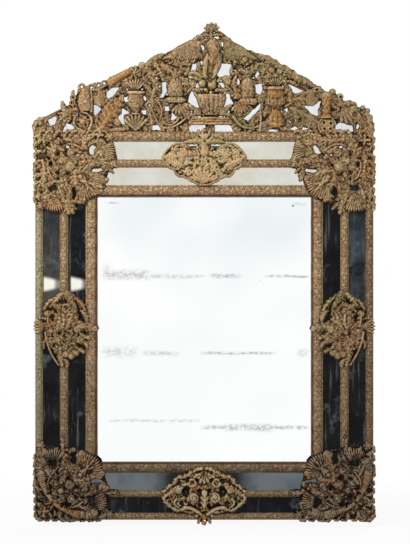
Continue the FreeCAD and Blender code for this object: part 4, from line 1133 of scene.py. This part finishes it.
    # Openings that show the glass
    relief.cut([(34, 107), (44, 115), (56, 105), (57, 94), (69, 79), (59, 72), (49, 80), (53, 94)], 1.0)
    relief.cut([(78, 160), (84, 139), (81, 126), (76, 133)], 0.6)
    relief.cut([(134, 175), (140, 161), (129, 148), (125, 156)], 0.8)
    relief.cut([(127, 132), (145, 135), (149, 116), (140, 101), (128, 106)])
    relief.cut([(92, 35), (111, 53), (136, 73), (143, 83), (138, 59), (120, 43), (106, 28)], 1.0)
    relief.cut([(10, 14), (58, 16), (68, -3), (10, -3)], 1.0)
    relief.cut([(157, -3), (165, 7), (190, 5), (190, -3)], 0.8)
    relief.cut([(206, 60), (219, 69), (217, 51)], 0.8)
    relief.cut([(223, 8), (240, 16), (250, 6), (235, 1)], 0.6)
    relief.cut([(214, 134), (249, 128), (271, 113), (254, 106), (237, 103)])
    relief.cut([(262, 75), (286, 71), (304, 86), (312, 86), (300, 43), (281, 51)])
    relief.cut([(255, -3), (260, 14), (287, 3), (282, -3)], 0.8)
    relief.cut([(350, -5), (351, 18), (362, 25), (378, 22), (398, 17), (405, -5)])
    relief.cut([(406, 8), (413, 23), (420, 18), (414, 5)], 0.6)
    relief.dent([(319, 24), (338, 22), (320, 6), (337, 6), (300, 116), (366, 96)], 3.4, 9)
    relief.pierce([(224, 27), (90, 186), (96, 170)], 3.0)
    relief.pierce([(122, 150), (204, 126), (318, 60), (296, 102), (150, 112), (120, 190)], 2.6)
    return relief


def crest_basket_relief():
    """Flower basket on its plinth, about the crest axis and above the crest band."""
    relief = Relief((-76, -6), (76, 168), 23, across_axis, FAINT_SOIL_AND_SHADE)
    relief.plate([(-13, -3), (13, -3), (13, 24), (-13, 24)])
    relief.plate([(-26, 30), (26, 30), (24, 156), (-24, 156)])
    relief.foliage(60, (8, 15), (3.0, 6.0))
    # Plinth with its grooves
    relief.vase([(2, 18)], ((0, 60), (6, 65), (14, 59), (22, 55)), 0.16)
    relief.score([(-64, 26), (2, 26), (66, 26)], 1.2, 3.0)
    relief.score([(-60, 33), (2, 33), (62, 33)], 1.0, 2.0)
    relief.leaf([(0, -4), (0, 8), (0, 20)], 24, 6, 3)
    # Basket with leaves and flowers
    relief.vase([(4, 46)], ((0, 20), (10, 29), (30, 38), (48, 43), (58, 39)), 0.34, 9)
    relief.pair(relief.leaf, [(4, 60), (16, 78), (32, 106)], 24, 14, 5)
    relief.leaf([(2, 60), (0, 84), (4, 114)], 24, 15, 5)
    relief.pair(relief.leaf, [(30, 92), (38, 102), (46, 112)], 14, 9, 3)
    relief.pair(relief.scroll, [(36, 56)], 13, 9, 1.6)
    relief.pair(relief.leaf, [(28, 48), (44, 52), (58, 44)], 18, 7, 3)
    relief.pair(relief.leaf, [(36, 58), (50, 62), (60, 77)], 19, 7, 3)
    # Fruit and spirals over the basket
    relief.boss([(6, 130)], 13.5, 13.0)
    relief.boss([(-22, 134)], 12.0, 12.0)
    relief.boss([(18, 114), (-12, 116), (26, 126)], 6.0, 8.0)
    relief.scroll([(48, 138)], 13, 8, 1.8)
    relief.scroll([(-48, 134)], 12, 8, 1.8)
    relief.pair(relief.leaf, [(20, 118), (36, 112), (52, 118)], 20, 8, 4)
    relief.pair(relief.leaf, [(22, 140), (40, 150), (62, 152)], 20, 8, 3)
    relief.pair(relief.leaf, [(44, 126), (58, 118), (64, 106)], 14, 6, 3)
    relief.pierce([(-25, 153), (-10, 153), (30, 142)], 2.6)
    return relief


def crest_eagle_relief():
    """Spread eagle under a flower finial, about the crest axis and above the crest band."""
    relief = Relief((-144, 146), (150, 318), 24, across_axis, FAINT_SOIL_AND_SHADE)
    relief.plate([(-14, 156), (18, 156), (18, 262), (-12, 262)])
    relief.plate([(-6, 250), (12, 250), (10, 290), (0, 290)])
    ground = [(0, 200), (30, 196), (60, 180), (96, 176), (132, 196), (96, 218), (60, 236), (46, 250),
              (0, 256)]
    relief.plate(ground)
    relief.plate([across_axis(point) for point in ground])
    relief.foliage(50, (16, 28), (3.0, 6.0))
    relief.foliage(160, (8, 15), (3.0, 6.0))
    # Broad wings, smooth above and feathered below
    wing = [(18, 258), (54, 257), (90, 239), (126, 213), (140, 200), (104, 197), (62, 195), (22, 204)]
    relief.pair(relief.pad, wing, 9, 7)
    for step in range(15):
        foot = 28 + 6.6 * step
        top = 217 - 0.7 * step
        relief.pair(relief.score, [(foot, top), (foot + 3, top - 8), (foot + 7, 197)], 1.3, 1.5)
    # Breast and bowed neck in one, with thighs and tail
    breast = [(-9, 252), (-13, 238), (-7, 224), (-13, 204), (-8, 188), (4, 178), (20, 182), (31, 202),
              (33, 230), (28, 250), (16, 262), (0, 263)]
    relief.leaf([(2, 206), (5, 182), (0, 152)], 30, 9, 0)
    relief.stem([(-2, 210), (-16, 190), (-15, 156)], 25, 10, taper=0.6)
    relief.stem([(22, 210), (27, 186), (7, 154)], 26, 11, taper=0.6)
    relief.pad(breast, 15, 8)
    for row in range(5):
        for step in range(-1, 2):
            u = 8 + 12 * step + 6 * (row % 2)
            v = 188 + 10 * row
            relief.score([(u, v), (u + 4, v + 6), (u - 2, v + 11)], 1.3, 1.6)
    # Curved feathers of the neck, the beak and the eye
    for step in range(3):
        inner = 7 * step
        crown = (12 + inner / 2, 262 - 1.4 * inner)
        relief.score([(-6 + inner, 238), crown, (26 - inner / 2, 232)], 1.4, 2.2)
    relief.leaf([(-4, 256), (-18, 257), (-24, 243)], 11, 9, 0)
    relief.dent([(-3, 256)], 1.8, 2.0)
    # Leaves under the finial and beside the tail
    relief.leaf([(-12, 154), (-34, 166), (-31, 196)], 27, 8, 4)
    relief.leaf([(-8, 152), (-24, 152), (-40, 162)], 18, 7, 3)
    relief.leaf([(-28, 156), (-44, 170), (-60, 158)], 20, 7, 3)
    relief.stem([(4, 262), (0, 272), (5, 284)], 13, 7)
    relief.leaf([(0, 268), (-16, 274), (-30, 262)], 15, 6, 3)
    relief.leaf([(8, 268), (24, 276), (38, 264)], 15, 6, 3)
    relief.rosette([(5, 270)], 9, 8, 5)
    # Thin arched stems, curls and small leaves beside the head
    relief.stem([(2, 284), (-26, 280), (-34, 254)], 5.0, 3.5, taper=0.9)
    relief.stem([(8, 284), (40, 280), (56, 250)], 5.0, 3.5, taper=0.9)
    relief.leaf([(36, 262), (50, 260), (66, 244)], 17, 6, 3)
    relief.leaf([(-26, 268), (-42, 262), (-52, 246)], 15, 6, 3)
    relief.pair(relief.ring, [(28, 254)], 6.0, 3.0, 4)
    relief.pair(relief.ring, [(34, 238)], 6.5, 3.0, 4)
    relief.pair(relief.boss, [(24, 244)], 5.0, 5.0)
    relief.pair(relief.stem, [(14, 244), (24, 250), (40, 240)], 6, 5)
    relief.leaf([(-14, 250), (-26, 240), (-22, 226)], 14, 6, 3)
    # Finial flower with pointed petals
    flower = (5, 287)
    for angle in (12, 50, 90, 130, 168, 210, 330):
        turn = math.radians(angle)
        tip = (flower[0] + 23 * math.cos(turn), flower[1] + 19 * math.sin(turn))
        middle = (flower[0] + 12 * math.cos(turn + 0.2), flower[1] + 11 * math.sin(turn + 0.2))
        relief.leaf([flower, middle, tip], 13, 6, 0, lift=2.0)
    relief.rosette([flower], 10, 10, 6)
    relief.leaf([(64, 158), (56, 170), (60, 188)], 14, 6, 3)
    relief.cut([(44, 192), (62, 188), (48, 160), (27, 154), (31, 163)], 0.8)
    relief.cut([(32, 251), (37, 250), (36, 220), (32, 218)], 0.6)
    relief.cut([(-53, 191), (-36, 187), (-38, 173), (-49, 180)], 0.8)
    relief.cut([(-26, 244), (-17, 240), (-15, 228), (-21, 225)], 0.6)
    return relief


def mounts():
    """All the embossed sheets in place of their nodes."""
    left, right = box_mm("outer_band_left")[0][0], box_mm("outer_band_right")[1][0]
    low, top = box_mm("outer_band_bottom")[0][2], box_mm("crest_base_band")[1][2]
    pieces = []
    for seed, (side, x, sx) in enumerate((("left", left, 1), ("right", right, -1))):
        for shift, (height, z, sz) in enumerate((("lower", low, 1), ("upper", top, -1))):
            node = "corner_mount_%s_%s" % (height, side)
            relief = corner_relief(CORNER_SEED + 2 * seed + shift, height == "lower")
            pieces.append(sheet_piece(relief, node, (x, z), (sx, sz)))
        node = "cartouche_" + side
        low_corner, high_corner = box_mm(node)
        middle = 0.5 * (low_corner + high_corner)
        relief = side_cartouche_relief(SIDE_SEED + seed)
        pieces.append(sheet_piece(relief, node, (middle[0], middle[2]), (sx, 1)))
    for node, wrought, sz in (("cartouche_top", False, 1), ("cartouche_bottom", True, -1)):
        tip = box_mm(node)[1][2] if sz > 0 else box_mm(node)[0][2]
        relief = long_cartouche_relief(LONG_SEED + wrought, wrought)
        pieces.append(sheet_piece(relief, node, (0.0, tip - sz * LONG_STEM), (1, sz)))
    crest = [("crest_eagle", crest_eagle_relief(), 1), ("crest_basket", crest_basket_relief(), 1),
             ("crest_left", crest_left_relief(), -1), ("crest_right", crest_right_relief(), 1)]
    # The eagle lies over the other crest sheets, and the basket over the two sides
    for place, (_, over, _) in enumerate(crest[:2]):
        for _, under, hand in crest[place + 1:]:
            under.yield_to(over, hand)
    for node, relief, sx in crest:
        pieces.append(sheet_piece(relief, node, (CREST_AXIS, top), (sx, 1), turned=False))
    return pieces


# Border glass

def pane_piece(node):
    """Pane of border glass with a ground bevel round its front, in place of its node."""
    low, high = box_mm(node)
    rings = []
    for inset, y in ((0.0, high[1]), (0.0, low[1] + BEVEL_DEPTH), (BEVEL_WIDTH, low[1])):
        x0, x1 = low[0] + inset, high[0] - inset
        z0, z1 = low[2] + inset, high[2] - inset
        rings += [(x0, y, z0), (x1, y, z0), (x1, y, z1), (x0, y, z1)]
    faces = [(3, 2, 1, 0), (8, 9, 10, 11)]
    for ring in (0, 4):
        for corner in range(4):
            after = (corner + 1) % 4
            faces.append((ring + corner, ring + after, ring + 4 + after, ring + 4 + corner))
    mesh = bpy.data.meshes.new("bevelled_" + node)
    mesh.from_pydata([tuple(MM * value for value in point) for point in rings], [], faces)
    made = new_object("bevelled_" + node, mesh)
    # The last four faces are the bevel
    for polygon in mesh.polygons[-4:]:
        polygon.material_index = 1
    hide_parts(node)
    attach(made, ROOT)
    return made


# Materials

def srgb(red, green, blue):
    """Linear colour from 0-255 values."""
    linear = []
    for value in (red, green, blue):
        share = value / 255.0
        linear.append(share / 12.92 if share <= 0.04045 else ((share + 0.055) / 1.055) ** 2.4)
    return (*linear, 1.0)


def feed(tree, source, socket):
    """Link an output to a socket, or set a constant on it."""
    if isinstance(source, bpy.types.NodeSocket):
        tree.links.new(source, socket)
    else:
        socket.default_value = source


def add_node(tree, kind, inputs=(), **settings):
    """New shader node with its settings; inputs are sources by socket name, or a list of them in order."""
    made = tree.nodes.new("ShaderNode" + kind)
    for key, value in settings.items():
        setattr(made, key, value)
    for key, source in inputs.items() if isinstance(inputs, dict) else enumerate(inputs):
        feed(tree, source, made.inputs[key])
    return made


class Shade:
    """A node material under construction."""

    def __init__(self, name):
        self.material = bpy.data.materials.new(name)
        self.material.use_nodes = True
        self.tree = self.material.node_tree
        self.shader = self.tree.nodes["Principled BSDF"]
        self.place = self.add("TexCoord").outputs["Object"]

    def add(self, kind, inputs=(), **settings):
        return add_node(self.tree, kind, inputs, **settings)

    def set(self, **values):
        """Set inputs of the shader, named in small letters."""
        for key, value in values.items():
            feed(self.tree, value, self.shader.inputs[key.replace("_", " ").title().replace("Ior", "IOR")])

    def axis(self, name):
        return self.add("SeparateXYZ", [self.place]).outputs[name]

    def mark(self, name):
        """Value that the mesh carries at its points."""
        return self.add("Attribute", attribute_name=name).outputs["Fac"]

    def stretched(self, scale):
        return self.add("Mapping", {"Vector": self.place, "Scale": scale}).outputs["Vector"]

    def noise(self, scale, detail=3.0, roughness=0.55, along=None):
        vector = self.place if along is None else along
        inputs = {"Vector": vector, "Scale": scale, "Detail": detail, "Roughness": roughness}
        return self.add("TexNoise", inputs).outputs[0]

    def cells(self, scale):
        return self.add("TexVoronoi", {"Vector": self.place, "Scale": scale}).outputs["Distance"]

    def math(self, operation, *values):
        return self.add("Math", values, operation=operation).outputs[0]

    def times(self, first, second):
        return self.math("MULTIPLY", first, second)

    def most(self, first, second):
        return self.math("MAXIMUM", first, second)

    def away(self, first, second):
        """Distance between two values."""
        return self.math("ABSOLUTE", self.math("SUBTRACT", first, second))

    def spread(self, value, low, high, to_low=0.0, to_high=1.0):
        """Smooth step from one result to another while a value goes from low to high."""
        inputs = (value, low, high, to_low, to_high)
        return self.add("MapRange", inputs, interpolation_type="SMOOTHSTEP").outputs[0]

    def ramp(self, value, *stops):
        """Colour from (place, colour) stops."""
        made = self.add("ValToRGB", {"Fac": value})
        elements = made.color_ramp.elements
        while len(elements) < len(stops):
            elements.new(0.5)
        for element, (place, colour) in zip(elements, stops):
            element.position = place
            element.color = colour
        return made.outputs["Color"]

    def mix(self, share, first, second, blend="MIX"):
        made = self.add("Mix", {"Factor": share}, data_type="RGBA", blend_type=blend)
        colours = [socket for socket in made.inputs if socket.type == "RGBA"]
        feed(self.tree, first, colours[0])
        feed(self.tree, second, colours[1])
        return next(socket for socket in made.outputs if socket.type == "RGBA")

    def tinted(self, tone, tint):
        return self.mix(1.0, tone, tint, "MULTIPLY")

    def bump(self, height, distance, strength):
        made = self.add("Bump", {"Strength": strength, "Distance": distance, "Height": height})
        feed(self.tree, made.outputs["Normal"], self.shader.inputs["Normal"])


def copper(name, tint, grime, patina_and_shade=srgb(252, 252, 252), hollow=srgb(80, 58, 35),
           cool=srgb(226, 236, 208), variety=0.4, embossed=True):
    """Old gilt copper: oxide and painted shade in its hollows, wear and painted glints on its heights, brown
    tint and grime.
    """
    pit, worn, bright = srgb(22, 15, 9), srgb(178, 152, 114), srgb(222, 204, 170)
    pale, rosy, warm = srgb(246, 247, 232), srgb(252, 244, 240), srgb(255, 222, 178)
    shaded, lit = srgb(150, 148, 152), srgb(255, 255, 255)
    shade = Shade(name)
    fine = shade.noise(420.0)
    patches = shade.noise(16.0)
    sunken = shade.mark("cavity") if embossed else shade.spread(shade.noise(60.0), 0.2, 0.8, 0.45, 0.75)
    level = shade.math("MULTIPLY_ADD", fine, 0.26, shade.math("SUBTRACT", sunken, 0.13))
    level = shade.math("ADD", level, shade.spread(shade.noise(34.0), 0.36, 0.64, -grime, grime))
    tone = shade.ramp(level, (0.10, pit), (0.32, hollow), (0.52, tint), (0.74, worn), (0.95, bright))
    warmth = shade.math("ADD", shade.mark("warmth"), shade.spread(patches, 0.3, 0.7, -0.5, 0.5))
    hue = shade.math("MULTIPLY_ADD", warmth, variety, 0.5)
    tone = shade.tinted(tone, shade.ramp(hue, (0.0, cool), (0.35, pale), (0.6, rosy), (1.0, warm)))
    # The foot and the right side of the mirror are in softer light
    height = shade.spread(shade.axis("Z"), -0.42, 0.30, 0.40, 1.0)
    side = shade.spread(shade.axis("X"), 0.05, 0.45, 1.0, 0.85)
    tone = shade.tinted(tone, shade.mix(shade.times(height, side), shaded, lit))
    # Overall tint: oxide on some pieces, painted shade on the darker copies
    tone = shade.tinted(tone, patina_and_shade)
    shade.set(base_color=tone, metallic=0.36, specular_ior_level=0.22,
              roughness=shade.spread(fine, 0.3, 0.7, 0.52, 0.76))
    shade.bump(shade.noise(900.0, 2.0), 0.0003, 0.5)
    return shade.material


# Stains of the middle plate: level, left end, right end, half height and share of silver lost
STAINS = (
    (0.162, -0.300, -0.250, 0.020, 0.34),
    (0.153, -0.300, -0.140, 0.012, 0.55),
    (0.149, -0.170, 0.010, 0.0050, 0.40),
    (0.149, 0.005, 0.110, 0.0055, 0.75),
    (0.149, 0.160, 0.306, 0.0036, 0.65),
    (-0.064, -0.300, -0.178, 0.013, 0.34),
    (-0.068, -0.185, -0.060, 0.0060, 0.42),
    (-0.067, -0.020, 0.215, 0.0036, 0.62),
    (-0.068, 0.250, 0.306, 0.010, 0.42),
    (-0.257, -0.280, 0.0, 0.0036, 0.36),
    (-0.276, 0.040, 0.210, 0.0085, 0.60),
    (-0.276, -0.020, 0.304, 0.0050, 0.60),
    (0.355, -0.285, -0.230, 0.0020, 0.70),
    (0.352, 0.235, 0.300, 0.0050, 0.30),
)
# Length over which a stain fades in and out at its ends
STAIN_FADE = 0.03

# Bare spot of the middle plate: place across and up, and half width
SPOT = (0.249, 0.347, 0.0035)


def dark_rim(shade, across, up):
    """Share of the dark line along the sight edge of the middle plate: worn silver and painted shadow of the
    bands.
    """
    sight = {side: box_mm("inner_band_" + side) for side in SIDES}
    # Place, edge, direction towards the middle, and width of the line in millimetres
    edges = ((across, sight["left"][1][0], 1.0, 3.2), (across, sight["right"][0][0], -1.0, 3.2),
             (up, sight["bottom"][1][2], 1.0, 2.2), (up, sight["top"][0][2], -1.0, 4.6))
    rim = 0.0
    for place, edge, inwards, reach in edges:
        inside = shade.times(shade.math("SUBTRACT", place, edge * MM), inwards)
        inside = shade.math("ADD", inside, 0.0011)
        inside = shade.math("MULTIPLY_ADD", shade.noise(30.0), -0.0022, inside)
        rim = shade.most(rim, shade.spread(inside, 0.35 * reach * MM, reach * MM, 0.85, 0.0))
    return rim


def stained_plate_with_painted_shadow(name):
    """Old silver of the middle plate, stained along the board joints behind; worn silver and painted shadow
    at its edges.
    """
    shade = Shade(name)
    up = shade.axis("Z")
    across = shade.axis("X")
    # Duller clouds towards the top
    clouds = shade.spread(shade.noise(2.2, 2.0), 0.35, 0.62)
    dim = shade.times(shade.spread(up, -0.10, 0.25, 0.25, 1.0), clouds)
    tone = shade.mix(dim, srgb(255, 255, 255), srgb(236, 242, 243))
    # Broken stains with a wandering line, and the bare spot
    level = shade.math("MULTIPLY_ADD", shade.noise(11.0, 4.0), 0.012, shade.math("SUBTRACT", up, 0.006))
    lost = 0.0
    for height, left, right, half, share in STAINS:
        line = shade.spread(shade.away(level, height), 0.0, 1.9 * half, share, 0.0)
        line = shade.times(line, shade.spread(across, left, left + STAIN_FADE))
        line = shade.times(line, shade.spread(across, right - STAIN_FADE, right, 1.0, 0.0))
        lost = shade.most(line, lost)
    grain = shade.noise(85.0, 4.0, 0.75, shade.stretched((1.0, 1.0, 1.4)))
    lost = shade.times(lost, shade.spread(grain, 0.38, 0.60, 0.12, 1.0))
    off_spot = shade.most(shade.away(across, SPOT[0]), shade.away(up, SPOT[1]))
    lost = shade.most(lost, shade.spread(off_spot, 0.4 * SPOT[2], SPOT[2], 1.0, 0.0))
    tone = shade.mix(lost, tone, srgb(118, 122, 122))
    specks = shade.spread(shade.cells(26.0), 0.03, 0.06, 0.5, 0.0)
    specks = shade.times(specks, shade.spread(shade.noise(24.0, 4.0, 0.65), 0.58, 0.63))
    tone = shade.mix(specks, tone, srgb(120, 120, 116))
    # Dark line at the sight edge: worn silver and painted shadow
    tone = shade.mix(dark_rim(shade, across, up), tone, srgb(44, 40, 36))
    shade.set(base_color=tone, metallic=1.0, roughness=shade.spread(lost, 0.0, 1.0, 0.03, 0.22))
    shade.bump(shade.noise(5.0, 2.0), 0.0004, 0.25)
    return shade.material


def painted_window_reflection(shade, x, z):
    """Share of a pale, slanting patch about a place on a dark pane: a painted reflection of a window."""
    beside = shade.math("SUBTRACT", shade.axis("X"), x)
    above = shade.math("MULTIPLY_ADD", beside, 0.22, shade.away(shade.axis("Z"), z))
    patch = shade.times(shade.spread(above, 0.009, 0.022, 1.0, 0.0), shade.spread(beside, -0.019, -0.014))
    return shade.times(patch, shade.spread(beside, 0.008, 0.021, 1.0, 0.25))


def silvering_and_reflection(name, clear, cloudy, streak, bright=True, patches=(), shaded=0.0):
    """Old silvered glass of a border, mottled between two colours, which on the darker panes are painted
    reflections.

    Patches are (x, z) middles of painted window reflections, and shaded is the half width of a dark middle,
    a painted shadow of the bottom cartouche.
    """
    shade = Shade(name)
    clouds = shade.noise(14.0, 4.0, 0.6)
    tone = shade.ramp(clouds, (0.38, clear), (0.66, cloudy))
    worn = shade.spread(shade.cells(150.0), 0.03, 0.11, 1.0, 0.0)
    worn = shade.times(worn, shade.spread(shade.noise(20.0), 0.54, 0.66))
    tone = shade.mix(shade.times(worn, 0.7), tone, streak)
    # Painted shadow of the bottom cartouche across the middle of the pane
    if shaded:
        beside = shade.math("MULTIPLY_ADD", clouds, 0.10, shade.math("ABSOLUTE", shade.axis("X")))
        tone = shade.mix(shade.spread(beside, shaded, shaded + 0.06, 0.88, 0.0), tone, srgb(14, 17, 20))
    if bright:
        shade.set(base_color=tone, metallic=1.0, roughness=shade.spread(clouds, 0.3, 0.7, 0.04, 0.12))
    else:
        long_marks = shade.noise(70.0, 3.0, 0.6, shade.stretched((1.0, 1.0, 0.08)))
        tone = shade.mix(shade.spread(long_marks, 0.55, 0.72, 0.0, 0.75), tone, srgb(92, 94, 92))
        smears = shade.spread(shade.noise(20.0, 5.0, 0.65), 0.56, 0.72, 0.0, 0.55)
        tone = shade.mix(smears, tone, srgb(96, 104, 106))
        # Painted reflections of a window
        for x, z in patches:
            tone = shade.mix(painted_window_reflection(shade, x, z), tone, srgb(236, 232, 222))
        shade.set(base_color=tone, metallic=0.0, specular_ior_level=0.10,
                  roughness=shade.spread(clouds, 0.3, 0.7, 0.06, 0.16))
    shade.bump(shade.noise(9.0, 2.0), 0.0004, 0.3)
    return shade.material


def pine(name, upright, light, dark):
    """Old pine with its grain along the board."""
    shade = Shade(name)
    along = shade.stretched((1.0, 1.0, 0.055) if upright else (0.055, 1.0, 1.0))
    rings = shade.noise(62.0, 4.0, 0.6, along)
    fibres = shade.noise(420.0, 3.0, 0.6, along)
    level = shade.math("MULTIPLY_ADD", fibres, 0.35, shade.times(rings, 0.75))
    tone = shade.ramp(level, (0.36, dark), (0.52, light), (0.66, dark))
    grime = shade.spread(shade.noise(7.0, 4.0), 0.42, 0.70, 0.0, 0.55)
    tone = shade.mix(grime, tone, srgb(58, 42, 28))
    shade.set(base_color=tone, roughness=shade.spread(fibres, 0.3, 0.7, 0.62, 0.85))
    shade.bump(level, 0.0012, 0.6)
    return shade.material


def iron(name):
    """Forged iron, browned by rust."""
    shade = Shade(name)
    rust = shade.noise(190.0, 5.0, 0.65)
    tone = shade.ramp(rust, (0.36, srgb(38, 36, 36)), (0.54, srgb(66, 50, 42)), (0.68, srgb(112, 66, 40)))
    shade.set(base_color=tone, metallic=0.6, roughness=shade.spread(rust, 0.35, 0.7, 0.42, 0.82))
    shade.bump(rust, 0.0006, 0.6)
    return shade.material


# Pieces in their materials

def paint(made, *materials):
    """Give a piece or a node its materials."""
    made.data.materials.clear()
    for material in materials:
        made.data.materials.append(material)


def paint_mounts():
    """Embossed sheets, each in the copper that its name asks for."""
    mount_copper = copper("mount_copper", srgb(140, 116, 86), 0.06)
    finishes = {
        # The lower corners take a darker, greyer copy of the copper as painted shade, with more grime
        "corner_mount_lower": copper("painted_shade_low_copper", srgb(140, 114, 86), 0.18, srgb(208, 206, 212),
                                     cool=srgb(196, 205, 205), variety=0.56),
        # The top cartouche takes a lighter copy of the copper as painted light
        "cartouche_top": copper("bright_copper", srgb(202, 178, 138), 0.05),
        "cartouche_bottom": copper("golden_copper", srgb(164, 132, 84), 0.06, variety=0.5),
        "crest": copper("crest_copper", srgb(143, 122, 92), 0.05, srgb(240, 240, 240)),
    }
    for piece in mounts():
        fitting = [finish for word, finish in finishes.items() if word in piece.name]
        paint(piece, *(fitting or [mount_copper]))


def paint_bands():
    """Bands and pins; some bands are darker than the rest, as painted shade."""
    russet = srgb(112, 70, 42)
    band_copper = copper("band_copper", srgb(152, 132, 106), 0.05, hollow=russet)
    inner_copper = copper("inner_copper", srgb(162, 142, 118), 0.06, hollow=russet)
    # Darker copy of the band copper for the bottom inner band and the right outer band: painted shade
    dull_copper = copper("dull_copper", srgb(134, 116, 94), 0.08, srgb(226, 226, 228), russet)
    olive_copper = copper("olive_copper", srgb(172, 163, 134), 0.05, srgb(236, 252, 254), srgb(122, 100, 72))
    finishes = {"inner_band_left": inner_copper, "inner_band_right": inner_copper,
                "inner_band_bottom": dull_copper, "outer_band_right": dull_copper,
                "outer_band_left": olive_copper}
    rng = np.random.default_rng(7)
    for ring, members in RINGS.items():
        for side, node in members.items():
            paint(band_piece(ring, side, rng), finishes.get(node, band_copper))
    paint(NODES["copper_pins"], copper("pin_copper", srgb(150, 120, 84), 0.0, embossed=False))


def paint_glass():
    """Border panes with bright bevels, crest glass and middle plate."""
    bevel = silvering_and_reflection("bevel_silvering", srgb(196, 198, 194), srgb(168, 170, 166), srgb(90, 90, 88))
    pale = silvering_and_reflection("top_silvering", srgb(222, 223, 216), srgb(212, 208, 194), srgb(150, 146, 134))
    # The grey, dark, smoky and blue panes are darkened as painted reflections of dark surroundings, over old
    # silver
    grey = silvering_and_reflection("painted_grey_reflection_and_silvering", srgb(104, 110, 113), srgb(84, 92, 95), srgb(60, 64, 66), shaded=0.135)
    black = silvering_and_reflection("painted_dark_reflection_and_silvering", srgb(6, 6, 8), srgb(24, 25, 28), srgb(104, 106, 106), False,
                      [(-0.357, 0.127)])
    smoky = silvering_and_reflection("painted_smoky_reflection_and_silvering", srgb(42, 44, 46), srgb(76, 74, 68), srgb(140, 142, 140), False,
                      [(-0.433, 0.127)])
    blue = silvering_and_reflection("painted_blue_reflection_and_silvering", srgb(8, 11, 14), srgb(58, 67, 74), srgb(120, 128, 132), False)
    # Crest glass a little darker than white, as painted shade from the copper over it
    crest = silvering_and_reflection("crest_silvering_and_painted_shade", srgb(236, 238, 239), srgb(216, 220, 223), srgb(150, 152, 150))
    finishes = {"_top_": pale, "inner_bottom": grey, "outer_left_upper": smoky, "outer_right_upper": blue}
    for name in sorted(NODES):
        if name.startswith("glass_"):
            fitting = [finish for word, finish in finishes.items() if word in name]
            paint(pane_piece(name), *(fitting or [black]), bevel)
        elif name.startswith("crest_glass"):
            paint(NODES[name], crest)
    paint(NODES["main_mirror_plate"], stained_plate_with_painted_shadow("plate_silvering_and_painted_shadow"))


def paint_back():
    """Carcass, battens, back boards and ironwork."""
    light, dark = srgb(150, 112, 72), srgb(104, 72, 44)
    level = pine("level_pine", False, light, dark)
    old_iron = iron("old_iron")
    finishes = {
        "stile": pine("upright_pine", True, light, dark),
        "rail": level,
        "crest_board": level,
        "back_board": pine("board_pine", False, srgb(136, 104, 70), srgb(92, 66, 42)),
        "band_battens": pine("batten_pine", False, srgb(146, 112, 74), srgb(106, 76, 48)),
        "iron_nails": old_iron,
        "hanger": old_iron,
    }
    for start, finish in finishes.items():
        for name in sorted(NODES):
            if name.startswith(start):
                paint(NODES[name], finish)


# Studio

def seen_rays(tree):
    """One for rays that show the surroundings themselves: camera, mirror and glass rays."""
    rays = add_node(tree, "LightPath").outputs
    total = rays["Is Camera Ray"]
    for name in ("Is Glossy Ray", "Is Transmission Ray"):
        total = add_node(tree, "Math", [total, rays[name]], operation="MAXIMUM").outputs[0]
    return total


def white_world(ambient):
    """Surroundings that look white and light the object with an ambient strength."""
    world = bpy.data.worlds.new("studio")
    world.use_nodes = True
    tree = world.node_tree
    tree.nodes.clear()
    seen = add_node(tree, "Background", {"Color": WHITE, "Strength": 1.0})
    dim = add_node(tree, "Background", {"Color": WHITE, "Strength": ambient})
    choice = add_node(tree, "MixShader", [seen_rays(tree), dim.outputs[0], seen.outputs[0]])
    add_node(tree, "OutputWorld", {"Surface": choice.outputs[0]})
    bpy.context.scene.world = world


def studio_floor(level):
    """White floor that keeps a faint shadow near the object."""
    reach = 14.0
    shadow_start, shadow_end = 0.75, 1.3
    corners = [(-reach, -reach, level), (reach, -reach, level), (reach, reach, level),
               (-reach, reach, level)]
    mesh = bpy.data.meshes.new("studio_floor")
    mesh.from_pydata(corners, [], [(0, 1, 2, 3)])
    made = new_object("studio_floor", mesh)
    material = bpy.data.materials.new("studio_floor")
    material.use_nodes = True
    tree = material.node_tree
    tree.nodes.clear()
    glow = add_node(tree, "Emission", {"Color": WHITE, "Strength": 1.0})
    matte = add_node(tree, "BsdfDiffuse", {"Color": (0.8, 0.8, 0.8, 1.0)})
    place = add_node(tree, "TexCoord").outputs["Object"]
    span = add_node(tree, "VectorMath", [place], operation="LENGTH").outputs["Value"]
    fade = add_node(tree, "MapRange", [span, shadow_start, shadow_end, 0.90, 1.0],
                    interpolation_type="SMOOTHSTEP").outputs[0]
    share = add_node(tree, "Math", [fade, seen_rays(tree)], operation="MULTIPLY").outputs[0]
    blend = add_node(tree, "MixShader", [share, matte.outputs[0], glow.outputs[0]])
    add_node(tree, "OutputMaterial", {"Surface": blend.outputs[0]})
    mesh.materials.append(material)
    made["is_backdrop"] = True


def lamp(name, place, size, power):
    """Rectangular lamp turned to the middle of the mirror."""
    light = bpy.data.lights.new(name, "AREA")
    light.shape = "RECTANGLE"
    light.size, light.size_y = size
    light.energy = power
    made = new_object(name, light)
    made.location = place
    made.rotation_euler = (Vector(LAMP_AIM) - Vector(place)).to_track_quat("-Z", "Y").to_euler()


def photo_camera():
    """Level camera straight in front, at the distance that gives the photo's scale."""
    camera = bpy.data.cameras.new("photo_camera")
    camera.lens = LENS
    camera.sensor_width = SENSOR
    camera.clip_end = 60.0
    made = new_object("photo_camera", camera)
    distance = PICTURE_HEIGHT * PIXEL * LENS / SENSOR
    made.location = (VIEW_X, FRONT_Y - distance, VIEW_Z)
    made.rotation_euler = (math.radians(90), 0.0, 0.0)
    bpy.context.scene.camera = made


paint_mounts()
paint_bands()
paint_glass()
paint_back()
white_world(AMBIENT)
studio_floor(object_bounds()[0][2] - MM)
lamp("key", (-1.9, -2.4, 2.4), (1.4, 1.1), 104.0)
lamp("fill", (2.4, -3.0, 0.6), (1.6, 1.6), 15.0)
lamp("back", (1.5, 2.6, 1.6), (1.6, 1.6), 40.0)
photo_camera()
bpy.context.scene.view_settings.view_transform = "Standard"
